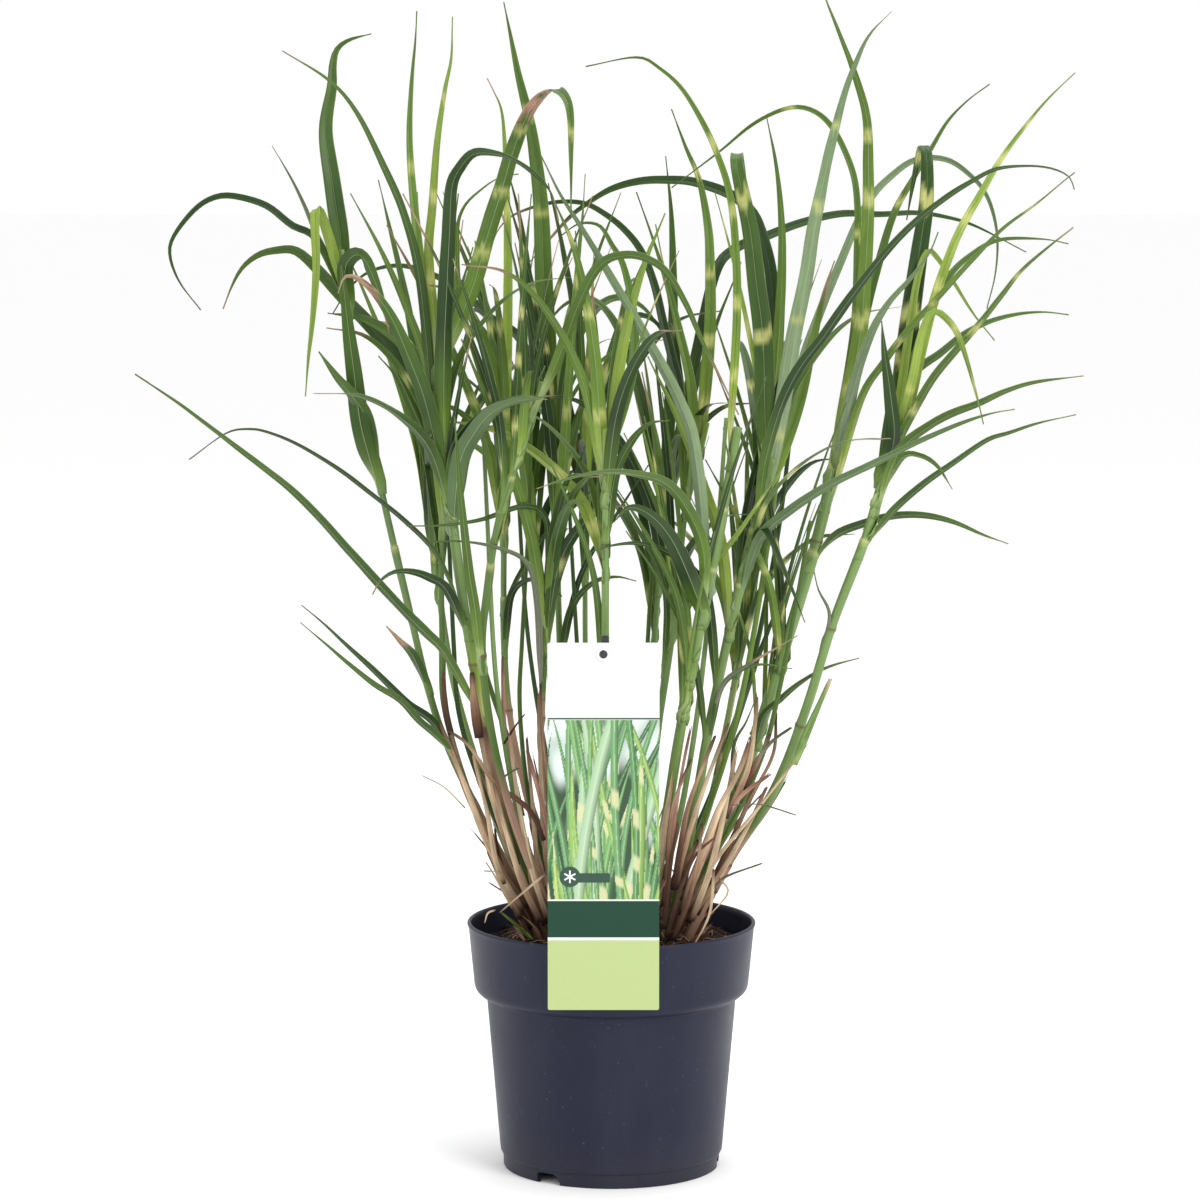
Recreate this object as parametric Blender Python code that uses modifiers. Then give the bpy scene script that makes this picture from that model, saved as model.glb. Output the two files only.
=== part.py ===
"""Potted miscanthus clump: a round nursery pot of compost, its culms and leaf blades, and a plant label.

Metres, +Z up. The origin is the centre of the pot's foot, on the surface it stands on. The label is on
the -Y side. Each culm and each large leaf blade is an object of its own.
"""
import math

import bmesh
import bpy
from mathutils import Matrix, Vector

GAP = 0.0003                # clearance between pieces that touch

# Pot: radii are to the outer face
RIM_RADIUS = 0.0950
LIP = 0.0026                # thickness of the rolled rim
COLLAR_RADIUS = 0.0940      # deep skirt below the rim, at its top
COLLAR_FOOT_RADIUS = 0.0904
BODY_RADIUS = 0.0822
BASE_RADIUS = 0.0735
FOOT_RADIUS = 0.0716
POT_HEIGHT = 0.1630
COLLAR_DEPTH = 0.0445
FOOT_HEIGHT = 0.0088
FOOT_WIDTH = 0.0034
WALL = 0.0015
FLOOR = 0.0016
POT_SIDES = 40
NOTCH_SIZE = (0.012, 0.019, 0.0075)         # radial, along the foot ring, high
NOTCH_ANGLES = (-125, -5, 115)
DRAIN_RADIUS = 0.0045
DRAIN_CIRCLE = 0.048
CENTRE_HOLE_RADIUS = 0.0060

SOIL_TOP = 0.1500
CROWN_RADIUS = 0.0640       # level middle of the compost, where the culms stand

# Label
CARD_SIZE = (0.0708, 0.2353, 0.0007)        # wide, high, thick
CARD_BACK = (-0.0053, -0.0956, 0.1230)      # middle of the lower edge, on the back face
CARD_CORNER = 0.0012
PEG_RADIUS = 0.0023
PEG_HEIGHT = 0.3510
PEG_LENGTH = 0.0036
STAKE_SIZE = (0.0044, 0.0022, 0.2670)       # wide, thick, long
STAKE_TOP = (-0.0042, -0.0941, 0.3625)
STAKE_LEAN = math.radians(4.2)

CULM_STEPS = 7
CULM_TAPER = 0.72           # radius at the top of a culm over that at its foot
BLADE_STEPS = 12
BLADE_THICKNESS = 0.0005
TIP_WIDTH = 0.0010

# Culms: radius at the foot, where it stands on the compost (x, y), and points up its middle
CULMS = {
    "culm_01": (0.0026, (-0.050, 0.004), (
        (-0.063, 0.001, 0.187), (-0.086, -0.004, 0.233), (-0.1135, -0.010, 0.297), (-0.133, -0.016, 0.377),
        (-0.150, -0.021, 0.454), (-0.1645, -0.026, 0.5245), (-0.1715, -0.030, 0.590))),
    "culm_02": (0.0038, (-0.040, -0.018), (
        (-0.0525, -0.022, 0.191), (-0.074, -0.028, 0.253), (-0.089, -0.036, 0.3375), (-0.0955, -0.042, 0.379),
        (-0.103, -0.048, 0.438), (-0.110, -0.054, 0.492), (-0.1115, -0.057, 0.533))),
    "culm_03": (0.0028, (-0.046, 0.018), (
        (-0.0695, 0.020, 0.210), (-0.094, 0.024, 0.279), (-0.109, 0.028, 0.342), (-0.121, 0.036, 0.440))),
    "culm_04": (0.0022, (-0.053, -0.010), (
        (-0.079, -0.013, 0.210), (-0.1066, -0.018, 0.296), (-0.110, -0.021, 0.349), (-0.110, -0.026, 0.440))),
    "culm_05": (0.0024, (-0.034, 0.012), (
        (-0.052, 0.015, 0.226), (-0.0676, 0.018, 0.301), (-0.071, 0.022, 0.375), (-0.069, 0.026, 0.478))),
    "culm_06": (0.0028, (-0.028, -0.032), (
        (-0.0565, -0.040, 0.216), (-0.075, -0.047, 0.2825), (-0.083, -0.052, 0.345), (-0.079, -0.057, 0.390),
        (-0.071, -0.062, 0.436), (-0.048, -0.072, 0.508))),
    "culm_07": (0.0024, (-0.026, -0.010), (
        (-0.045, -0.016, 0.269), (-0.0455, -0.018, 0.300), (-0.043, -0.021, 0.349), (-0.039, -0.024, 0.401))),
    "culm_08": (0.0025, (-0.016, 0.026), (
        (-0.031, 0.032, 0.269), (-0.0345, 0.038, 0.349), (-0.038, 0.049, 0.490))),
    "culm_09": (0.0021, (-0.006, 0.042), (
        (-0.016, 0.050, 0.300), (-0.0175, 0.058, 0.380), (-0.017, 0.068, 0.455))),
    "culm_10": (0.0030, (0.002, -0.022), (
        (-0.002, -0.040, 0.260), (-0.004, -0.060, 0.349), (-0.004, -0.078, 0.420), (-0.004, -0.092, 0.480))),
    "culm_11": (0.0026, (0.016, 0.008), (
        (0.027, 0.014, 0.255), (0.036, 0.020, 0.330), (0.0425, 0.027, 0.401), (0.060, 0.039, 0.475))),
    "culm_12": (0.0038, (0.022, -0.026), (
        (0.0325, -0.032, 0.216), (0.043, -0.038, 0.286), (0.053, -0.044, 0.342), (0.067, -0.051, 0.414),
        (0.078, -0.056, 0.478))),
    "culm_13": (0.0036, (0.038, -0.010), (
        (0.055, -0.014, 0.243), (0.064, -0.018, 0.296), (0.0767, -0.024, 0.3585), (0.0916, -0.032, 0.425),
        (0.100, -0.036, 0.4575))),
    "culm_14": (0.0026, (0.034, 0.034), (
        (0.062, 0.042, 0.221), (0.075, 0.048, 0.275), (0.088, 0.054, 0.344), (0.105, 0.062, 0.435))),
    "culm_15": (0.0045, (0.043, 0.014), (
        (0.067, 0.014, 0.210), (0.090, 0.012, 0.266), (0.1144, 0.006, 0.345), (0.134, 0.001, 0.414),
        (0.148, -0.004, 0.478))),
    "culm_16": (0.0036, (0.051, -0.008), (
        (0.076, -0.012, 0.205), (0.106, -0.018, 0.252), (0.126, -0.026, 0.306), (0.143, -0.034, 0.364),
        (0.164, -0.043, 0.423), (0.178, -0.050, 0.477))),
    "culm_17": (0.0026, (0.014, 0.048), (
        (0.022, 0.064, 0.260), (0.030, 0.084, 0.350), (0.036, 0.110, 0.440))),
    "culm_18": (0.0026, (-0.024, 0.046), (
        (-0.034, 0.064, 0.260), (-0.046, 0.086, 0.350), (-0.056, 0.112, 0.440))),
}

# Large leaf blades: the culm each one leaves, its greatest width, the angle that it turns through about
# its own spine just above its base, how much further it twists by its tip, and points along its spine
BLADES = {
    "leaf_01": ("culm_01", 0.0120, 10, 10, (
        (-0.1718, -0.029, 0.596), (-0.179, -0.022, 0.647), (-0.1836, -0.014, 0.680), (-0.180, -0.008, 0.707),
        (-0.1794, -0.004, 0.722), (-0.1768, 0.000, 0.732), (-0.169, 0.002, 0.738), (-0.155, 0.004, 0.742))),
    "leaf_02": ("culm_01", 0.0080, -25, -30, (
        (-0.170, -0.029, 0.578), (-0.188, -0.036, 0.6095), (-0.204, -0.040, 0.6195), (-0.220, -0.042, 0.632),
        (-0.240, -0.042, 0.638), (-0.2535, -0.040, 0.637), (-0.2665, -0.036, 0.629), (-0.280, -0.032, 0.6125),
        (-0.283, -0.028, 0.600), (-0.2775, -0.024, 0.583), (-0.2645, -0.020, 0.565))),
    "leaf_03": ("culm_02", 0.0130, -45, 0, (
        (-0.108, -0.0525, 0.478), (-0.126, -0.036, 0.512), (-0.140, -0.022, 0.537), (-0.1565, -0.008, 0.555),
        (-0.177, 0.004, 0.575), (-0.195, 0.012, 0.594), (-0.2065, 0.016, 0.6025), (-0.2185, 0.020, 0.6025),
        (-0.2305, 0.022, 0.5995), (-0.241, 0.024, 0.5915), (-0.248, 0.025, 0.580), (-0.2545, 0.026, 0.564))),
    "leaf_04": ("culm_02", 0.0100, -40, 10, (
        (-0.110, -0.0545, 0.497), (-0.121, -0.066, 0.583), (-0.1305, -0.076, 0.626), (-0.143, -0.084, 0.657),
        (-0.159, -0.090, 0.690), (-0.176, -0.094, 0.710), (-0.2045, -0.098, 0.728))),
    "leaf_05": ("culm_02", 0.0090, 10, 0, (
        (-0.1115, -0.0565, 0.536), (-0.122, -0.045, 0.598), (-0.1275, -0.034, 0.647), (-0.1293, -0.026, 0.679),
        (-0.128, -0.018, 0.712), (-0.126, -0.012, 0.736), (-0.125, -0.008, 0.756))),
    "leaf_06": ("culm_02", 0.0090, 10, 10, (
        (-0.1145, -0.0575, 0.545), (-0.1155, -0.065, 0.599), (-0.113, -0.070, 0.631), (-0.1095, -0.078, 0.671),
        (-0.1045, -0.085, 0.703), (-0.100, -0.090, 0.724), (-0.099, -0.095, 0.749))),
    "leaf_07": ("culm_02", 0.0130, 30, 10, (
        (-0.1115, -0.057, 0.534), (-0.097, -0.066, 0.5585), (-0.087, -0.075, 0.583), (-0.0775, -0.090, 0.615),
        (-0.069, -0.105, 0.6405), (-0.061, -0.125, 0.666), (-0.052, -0.150, 0.687), (-0.044, -0.170, 0.6975),
        (-0.036, -0.190, 0.702), (-0.029, -0.208, 0.699), (-0.025, -0.222, 0.688), (-0.0245, -0.235, 0.662),
        (-0.0245, -0.240, 0.628))),
    "leaf_08": ("culm_02", 0.0130, 30, 20, (
        (-0.1085, -0.0525, 0.485), (-0.106, -0.070, 0.540), (-0.1035, -0.086, 0.583), (-0.1015, -0.094, 0.615),
        (-0.0995, -0.104, 0.6435), (-0.094, -0.116, 0.6555), (-0.0845, -0.130, 0.6645), (-0.069, -0.145, 0.664), (-0.058, -0.155, 0.6595),
        (-0.047, -0.165, 0.652), (-0.037, -0.175, 0.6405), (-0.0325, -0.180, 0.624))),
    "leaf_09": ("culm_02", 0.0130, 40, 10, (
        (-0.103, -0.048, 0.440), (-0.0965, -0.060, 0.470), (-0.0866, -0.075, 0.4895), (-0.076, -0.095, 0.503),
        (-0.063, -0.120, 0.511), (-0.050, -0.140, 0.5145), (-0.040, -0.155, 0.515))),
    "leaf_10": ("culm_02", 0.0110, -50, 0, (
        (-0.084, -0.033, 0.312), (-0.1065, -0.048, 0.3445), (-0.119, -0.052, 0.359), (-0.135, -0.057, 0.376),
        (-0.1655, -0.065, 0.411), (-0.197, -0.071, 0.447), (-0.222, -0.075, 0.4685), (-0.247, -0.078, 0.488),
        (-0.272, -0.080, 0.5075), (-0.300, -0.083, 0.527))),
    "leaf_11": ("culm_02", 0.0060, -30, 0, (
        (-0.0955, -0.042, 0.384), (-0.110, -0.050, 0.406), (-0.119, -0.052, 0.4185), (-0.135, -0.054, 0.434),
        (-0.1535, -0.055, 0.449), (-0.173, -0.055, 0.464), (-0.1985, -0.053, 0.4795), (-0.219, -0.050, 0.488),
        (-0.232, -0.047, 0.490), (-0.247, -0.044, 0.487), (-0.271, -0.040, 0.470))),
    "leaf_12": ("culm_02", 0.0100, -40, 0, (
        (-0.094, -0.0405, 0.370), (-0.106, -0.058, 0.3885), (-0.1165, -0.066, 0.3965), (-0.127, -0.074, 0.401),
        (-0.1375, -0.080, 0.4015), (-0.146, -0.085, 0.3965), (-0.151, -0.088, 0.388))),
    "leaf_13": ("culm_05", 0.0090, 20, 0, (
        (-0.069, 0.026, 0.482), (-0.0685, 0.030, 0.547), (-0.068, 0.034, 0.597), (-0.069, 0.038, 0.6465),
        (-0.0705, 0.040, 0.680), (-0.0725, 0.042, 0.695), (-0.076, 0.043, 0.7035), (-0.0815, 0.045, 0.7145))),
    "leaf_14": ("culm_06", 0.0120, 35, 10, (
        (-0.047, -0.073, 0.512), (-0.0325, -0.090, 0.540), (-0.023, -0.105, 0.5665), (-0.0135, -0.120, 0.5875),
        (-0.0045, -0.130, 0.5985), (0.008, -0.145, 0.6025), (0.020, -0.155, 0.601), (0.0325, -0.165, 0.593),
        (0.044, -0.178, 0.5745), (0.053, -0.190, 0.554), (0.062, -0.198, 0.536), (0.0755, -0.205, 0.5085))),
    "leaf_15": ("culm_08", 0.0130, -50, -5, (
        (-0.038, 0.050, 0.494), (-0.042, 0.052, 0.5295), (-0.0445, 0.056, 0.579), (-0.0465, 0.060, 0.630),
        (-0.0505, 0.062, 0.665), (-0.0545, 0.064, 0.689), (-0.0615, 0.066, 0.7175), (-0.0675, 0.068, 0.7475),
        (-0.071, 0.070, 0.765))),
    "leaf_16": ("culm_11", 0.0110, -35, -15, (
        (0.049, 0.033, 0.440), (0.0457, 0.042, 0.503), (0.0405, 0.050, 0.530), (0.0345, 0.058, 0.554),
        (0.0287, 0.066, 0.579), (0.020, 0.074, 0.601), (0.008, 0.082, 0.616), (-0.005, 0.088, 0.626),
        (-0.018, 0.094, 0.6325), (-0.035, 0.100, 0.6335), (-0.052, 0.106, 0.630), (-0.0675, 0.110, 0.6235),
        (-0.0765, 0.113, 0.614), (-0.082, 0.115, 0.6005))),
    "leaf_17": ("culm_11", 0.0115, -60, 0, (
        (0.0605, 0.0395, 0.479), (0.065, 0.046, 0.546), (0.0653, 0.054, 0.5965), (0.0635, 0.060, 0.6215),
        (0.058, 0.066, 0.649), (0.0493, 0.072, 0.670), (0.040, 0.080, 0.695))),
    "leaf_18": ("culm_12", 0.0115, -50, 5, (
        (0.0645, -0.050, 0.402), (0.0525, -0.066, 0.477), (0.0425, -0.080, 0.509), (0.030, -0.090, 0.5345),
        (0.0125, -0.100, 0.5655), (-0.005, -0.108, 0.5955), (-0.0187, -0.113, 0.6185), (-0.0323, -0.117, 0.640),
        (-0.044, -0.120, 0.6635))),
    "leaf_19": ("culm_12", 0.0090, -20, -10, (
        (0.0785, -0.0565, 0.482), (0.079, -0.060, 0.558), (0.078, -0.064, 0.607), (0.074, -0.068, 0.640),
        (0.066, -0.070, 0.665), (0.0563, -0.070, 0.6855), (0.0437, -0.070, 0.7055), (0.030, -0.068, 0.718),
        (0.0155, -0.064, 0.725), (-0.0165, -0.055, 0.7195))),
    "leaf_20": ("culm_13", 0.0135, 0, 0, (
        (0.1005, -0.0365, 0.4615), (0.098, -0.040, 0.506), (0.0963, -0.045, 0.550), (0.092, -0.050, 0.5825),
        (0.088, -0.056, 0.6145), (0.0825, -0.060, 0.640), (0.079, -0.060, 0.657), (0.079, -0.053, 0.664),
        (0.081, -0.035, 0.662), (0.086, -0.010, 0.640), (0.092, 0.005, 0.602))),
    "leaf_21": ("culm_13", 0.0140, 40, 10, (
        (0.100, -0.0355, 0.457), (0.1105, -0.042, 0.5065), (0.117, -0.049, 0.550), (0.123, -0.055, 0.5825),
        (0.1276, -0.060, 0.6145), (0.133, -0.064, 0.6465), (0.1403, -0.068, 0.680), (0.147, -0.071, 0.7055),
        (0.1535, -0.074, 0.7225), (0.1614, -0.077, 0.739), (0.1745, -0.080, 0.753))),
    "leaf_22": ("culm_13", 0.0125, 50, 0, (
        (0.0925, -0.0325, 0.428), (0.097, -0.054, 0.465), (0.1064, -0.071, 0.5045), (0.1183, -0.080, 0.5305), (0.132, -0.090, 0.550),
        (0.1506, -0.102, 0.578), (0.1694, -0.110, 0.603), (0.1863, -0.116, 0.6215), (0.2046, -0.120, 0.6365),
        (0.2205, -0.123, 0.647), (0.236, -0.125, 0.655), (0.255, -0.125, 0.657), (0.270, -0.125, 0.6555),
        (0.281, -0.125, 0.6505), (0.2845, -0.125, 0.6425))),
    "leaf_23": ("culm_13", 0.0080, 50, 0, (
        (0.0835, -0.028, 0.389), (0.0945, -0.044, 0.418), (0.113, -0.060, 0.438), (0.1375, -0.075, 0.456),
        (0.162, -0.085, 0.469), (0.187, -0.090, 0.482), (0.215, -0.093, 0.495), (0.2367, -0.095, 0.5025),
        (0.2523, -0.096, 0.5055))),
    "leaf_24": ("culm_12", 0.0110, -30, 0, (
        (0.0605, -0.0475, 0.382), (0.0585, -0.067, 0.412), (0.049, -0.088, 0.439), (0.035, -0.112, 0.459),
        (0.017, -0.140, 0.4675), (-0.0047, -0.175, 0.472), (-0.0286, -0.210, 0.470), (-0.045, -0.238, 0.467))),
    "leaf_25": ("culm_15", 0.0090, 30, -20, (
        (0.1485, -0.003, 0.482), (0.1567, 0.000, 0.549), (0.1595, 0.008, 0.606), (0.1597, 0.011, 0.630),
        (0.1575, 0.014, 0.650), (0.151, 0.018, 0.6685), (0.143, 0.022, 0.683), (0.1333, 0.026, 0.692),
        (0.1214, 0.030, 0.6955), (0.108, 0.034, 0.6925), (0.0913, 0.038, 0.6835), (0.0726, 0.042, 0.668),
        (0.0556, 0.046, 0.655), (0.0397, 0.050, 0.643))),
    "leaf_26": ("culm_15", 0.0115, 20, 10, (
        (0.145, -0.0035, 0.465), (0.1593, -0.012, 0.5405), (0.1625, -0.020, 0.5815), (0.1643, -0.026, 0.6225),
        (0.164, -0.030, 0.655), (0.1624, -0.034, 0.6875), (0.1545, -0.037, 0.715), (0.1448, -0.040, 0.7395),
        (0.1363, -0.042, 0.760), (0.1318, -0.043, 0.773))),
    "leaf_27": ("culm_15", 0.0090, 40, 0, (
        (0.146, -0.0035, 0.472), (0.1584, 0.008, 0.5225), (0.166, 0.018, 0.5615), (0.1747, 0.027, 0.5935),
        (0.1852, 0.036, 0.626), (0.1983, 0.044, 0.649), (0.2107, 0.050, 0.669), (0.2216, 0.055, 0.6865),
        (0.2348, 0.060, 0.700), (0.250, 0.066, 0.711))),
    "leaf_28": ("culm_15", 0.0095, 50, 0, (
        (0.1417, -0.002, 0.450), (0.160, -0.030, 0.5065), (0.1738, -0.045, 0.532), (0.1886, -0.060, 0.554),
        (0.207, -0.072, 0.576), (0.2255, -0.080, 0.5975), (0.2446, -0.086, 0.618), (0.2636, -0.090, 0.6325),
        (0.2805, -0.094, 0.647), (0.288, -0.096, 0.653))),
    "leaf_29": ("culm_15", 0.0080, 35, 0, (
        (0.1325, 0.0015, 0.409), (0.1468, -0.004, 0.418), (0.164, -0.008, 0.4257), (0.183, -0.012, 0.431),
        (0.2023, -0.016, 0.432), (0.2212, -0.020, 0.428), (0.2403, -0.024, 0.420), (0.2562, -0.028, 0.4145))),
    "leaf_30": ("culm_16", 0.0140, 0, 0, (
        (0.1775, -0.048, 0.484), (0.1855, -0.034, 0.512), (0.1910, -0.020, 0.550), (0.195, -0.010, 0.5755),
        (0.1993, -0.004, 0.604), (0.2032, -0.004, 0.633), (0.2034, -0.006, 0.659), (0.2025, 0.000, 0.669),
        (0.201, 0.014, 0.668), (0.198, 0.030, 0.650), (0.194, 0.040, 0.622))),
    "leaf_31": ("culm_16", 0.0110, 45, 30, (
        (0.1780, -0.0505, 0.476), (0.1895, -0.0545, 0.507), (0.1955, -0.052, 0.5345), (0.2038, -0.046, 0.567),
        (0.2128, -0.044, 0.595), (0.2228, -0.036, 0.6175), (0.2373, -0.028, 0.642), (0.249, -0.020, 0.661),
        (0.2634, -0.012, 0.680), (0.2802, -0.006, 0.6995), (0.2985, 0.000, 0.717))),
    "leaf_32": ("culm_16", 0.0090, 45, 0, (
        (0.1755, -0.049, 0.466), (0.184, -0.060, 0.486), (0.1945, -0.067, 0.508), (0.2045, -0.072, 0.5255), (0.2185, -0.075, 0.543),
        (0.2326, -0.080, 0.560), (0.2447, -0.085, 0.5765), (0.2556, -0.088, 0.591), (0.2713, -0.090, 0.6055),
        (0.288, -0.092, 0.619))),
    "leaf_33": ("culm_16", 0.0085, 45, 0, (
        (0.168, -0.045, 0.440), (0.1813, -0.020, 0.507), (0.1974, -0.008, 0.5255), (0.213, 0.000, 0.536),
        (0.2297, 0.008, 0.5485), (0.2471, 0.015, 0.5565), (0.2662, 0.022, 0.561), (0.284, 0.028, 0.562),
        (0.3005, 0.034, 0.560))),
    "leaf_34": ("culm_16", 0.0090, 45, 0, (
        (0.171, -0.0465, 0.450), (0.177, -0.060, 0.464), (0.185, -0.071, 0.481), (0.2005, -0.079, 0.494),
        (0.214, -0.084, 0.502), (0.230, -0.088, 0.5085), (0.2468, -0.091, 0.5165), (0.2657, -0.094, 0.5225),
        (0.295, -0.097, 0.5265))),
    "leaf_35": ("culm_16", 0.0070, 45, 0, (
        (0.164, -0.043, 0.421), (0.1792, -0.052, 0.437), (0.199, -0.057, 0.4555), (0.2177, -0.062, 0.4695),
        (0.2378, -0.066, 0.484), (0.2517, -0.070, 0.489), (0.270, -0.073, 0.4955), (0.293, -0.076, 0.501))),
    "leaf_36": ("culm_14", 0.0130, 40, 30, (
        (0.106, 0.062, 0.439), (0.1252, 0.068, 0.5195), (0.1387, 0.072, 0.5595), (0.1523, 0.076, 0.5925),
        (0.165, 0.080, 0.622), (0.1751, 0.083, 0.639), (0.186, 0.086, 0.650), (0.1996, 0.089, 0.660),
        (0.214, 0.092, 0.663), (0.2277, 0.095, 0.6605), (0.240, 0.098, 0.652), (0.250, 0.100, 0.6415),
        (0.2566, 0.102, 0.627), (0.260, 0.103, 0.608), (0.259, 0.104, 0.5855), (0.2536, 0.105, 0.5615))),
    "leaf_37": ("culm_17", 0.0120, 45, 0, (
        (0.0365, 0.111, 0.444), (0.058, 0.124, 0.530), (0.071, 0.135, 0.5845), (0.0845, 0.145, 0.601),
        (0.1056, 0.160, 0.609), (0.130, 0.175, 0.618), (0.159, 0.190, 0.6245), (0.1877, 0.205, 0.624),
        (0.2133, 0.215, 0.625), (0.235, 0.225, 0.622), (0.257, 0.233, 0.6155), (0.294, 0.240, 0.597))),
    "leaf_38": ("culm_18", 0.0110, -40, 0, (
        (-0.0565, 0.113, 0.444), (-0.058, 0.148, 0.529), (-0.0846, 0.175, 0.554), (-0.106, 0.195, 0.5725),
        (-0.130, 0.210, 0.584), (-0.1495, 0.220, 0.588), (-0.170, 0.230, 0.5835), (-0.1855, 0.237, 0.571),
        (-0.197, 0.242, 0.5535))),
}


def clear_scene():
    for item in list(bpy.data.objects):
        bpy.data.objects.remove(item, do_unlink=True)


def collection(name):
    made = bpy.data.collections.new(name)
    bpy.context.scene.collection.children.link(made)
    return made


def material(name, colour, roughness, metallic=0.0):
    made = bpy.data.materials.new(name)
    made.use_nodes = True
    shader = made.node_tree.nodes["Principled BSDF"]
    shader.inputs["Base Color"].default_value = (*colour, 1.0)
    shader.inputs["Roughness"].default_value = roughness
    shader.inputs["Metallic"].default_value = metallic
    return made


def mesh_object(name, bm, group, finish=None):
    mesh = bpy.data.meshes.new(name)
    bm.to_mesh(mesh)
    bm.free()
    if finish:
        mesh.materials.append(finish)
    made = bpy.data.objects.new(name, mesh)
    group.objects.link(made)
    return made


def hide_cutter(cutter):
    cutter.hide_render = True
    cutter.display_type = "WIRE"


def cut(target, cutter, operation="DIFFERENCE"):
    step = target.modifiers.new(f"{operation.lower()}_{cutter.name}", "BOOLEAN")
    step.operation = operation
    step.solver = "EXACT"
    step.object = cutter
    hide_cutter(cutter)


def turned(name, profile, group, finish, closed):
    """Turn a profile of (radius, height) about Z; it runs down the outer side."""
    bm = bmesh.new()
    rows = [bm.verts.new((radius, 0.0, height)) for radius, height in profile]
    for above, below in zip(rows, rows[1:]):
        bm.edges.new((above, below))
    if closed:
        bm.edges.new((rows[-1], rows[0]))
    made = mesh_object(name, bm, group, finish)
    screw = made.modifiers.new("turn", "SCREW")
    screw.steps = screw.render_steps = POT_SIDES
    screw.use_merge_vertices = True
    screw.merge_threshold = 0.00001
    screw.use_smooth_shade = True
    return made


def pot_wall():
    """Outer face of the pot's side from under the lip to the floor, as (radius, height)."""
    shoulder = POT_HEIGHT - COLLAR_DEPTH
    return [
        (COLLAR_RADIUS, POT_HEIGHT - 1.7 * LIP),
        (COLLAR_FOOT_RADIUS, shoulder + 0.0030),
        (COLLAR_FOOT_RADIUS - 0.0010, shoulder),
        (COLLAR_FOOT_RADIUS - 0.0036, shoulder - 0.0028),
        (BODY_RADIUS + 0.0006, shoulder - 0.0046),
        (BODY_RADIUS, shoulder - 0.0058),
        (BASE_RADIUS, FOOT_HEIGHT + 0.0034),
        (BASE_RADIUS - 0.0007, FOOT_HEIGHT + 0.0010),
    ]


def inner_wall(clearance):
    """The wall's inner face, top to bottom, moved in by a clearance."""
    inset = WALL + clearance
    return [(radius - inset, height + inset) for radius, height in pot_wall()[1:-1]]


def build_pot(parts, cutters, finish):
    lip_middle = RIM_RADIUS - LIP / 2
    lip_height = POT_HEIGHT - LIP / 2
    lip = [
        (lip_middle + LIP / 2 * math.cos(math.radians(angle)), lip_height + LIP / 2 * math.sin(math.radians(angle)))
        for angle in (150, 90, 30, -40)
    ]
    foot_inner = FOOT_RADIUS - FOOT_WIDTH
    foot = [
        (FOOT_RADIUS, FOOT_HEIGHT),
        (FOOT_RADIUS - 0.0004, 0.0006),
        (FOOT_RADIUS - 0.0009, 0.0),
        (foot_inner + 0.0004, 0.0),
        (foot_inner, FOOT_HEIGHT),
    ]
    floor = [
        (CENTRE_HOLE_RADIUS, FOOT_HEIGHT),
        (CENTRE_HOLE_RADIUS, FOOT_HEIGHT + FLOOR),
        (BASE_RADIUS - WALL - 0.0030, FOOT_HEIGHT + FLOOR),
    ]
    mouth = [(lip_middle - LIP / 2, POT_HEIGHT - 1.7 * LIP)]
    inside = list(reversed(inner_wall(0.0)))
    pot = turned("pot", lip + pot_wall() + foot + floor + inside + mouth, parts, finish, closed=True)

    for number, degrees in enumerate(NOTCH_ANGLES, start=1):
        bm = bmesh.new()
        bmesh.ops.create_cube(bm, size=1.0)
        bmesh.ops.scale(bm, vec=NOTCH_SIZE, verts=bm.verts)
        for corner in bm.verts:
            if corner.co.z > 0 and corner.co.y > 0:
                corner.co.y -= 0.004                    # one end of each notch slopes
        notch = mesh_object(f"foot_notch_{number}", bm, cutters)
        notch.rotation_euler.z = math.radians(degrees)
        around = Matrix.Rotation(math.radians(degrees), 4, "Z")
        notch.location = around @ Vector((FOOT_RADIUS - FOOT_WIDTH / 2, 0.0, NOTCH_SIZE[2] / 2 - 0.0005))
        cut(pot, notch)
    for number in range(6):
        angle = math.radians(60 * number + 24)
        bm = bmesh.new()
        bmesh.ops.create_cone(bm, cap_ends=True, segments=10, radius1=DRAIN_RADIUS, radius2=DRAIN_RADIUS, depth=0.006)
        drain = mesh_object(f"drain_{number + 1}", bm, cutters)
        drain.location = (DRAIN_CIRCLE * math.cos(angle), DRAIN_CIRCLE * math.sin(angle), FOOT_HEIGHT + FLOOR / 2)
        cut(pot, drain)
    return pot


def build_soil(parts, cutters, finish):
    side = inner_wall(GAP)
    top_radius = side[0][0] + (COLLAR_RADIUS - COLLAR_FOOT_RADIUS) * 0.55
    bottom = FOOT_HEIGHT + FLOOR + GAP
    profile = [(0.0, SOIL_TOP), (CROWN_RADIUS, SOIL_TOP), (top_radius, SOIL_TOP - 0.0030)]
    profile += side + [(BASE_RADIUS - WALL - 0.0034, bottom), (0.0, bottom)]
    soil = turned("soil", profile, parts, finish, closed=False)
    slot = stake_bar("stake_slot", cutters, None, GAP)
    cut(soil, slot)
    return soil


def stake_bar(name, group, finish, margin):
    wide, thick, long = STAKE_SIZE
    bm = bmesh.new()
    bmesh.ops.create_cube(bm, size=1.0)
    size = (wide + 2 * margin, thick + 2 * margin, long + 2 * margin)
    bmesh.ops.scale(bm, vec=size, verts=bm.verts)
    bmesh.ops.translate(bm, vec=(0.0, 0.0, -long / 2), verts=bm.verts)
    bar = mesh_object(name, bm, group, finish)
    bar.location = STAKE_TOP
    bar.rotation_euler.x = STAKE_LEAN
    return bar


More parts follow.
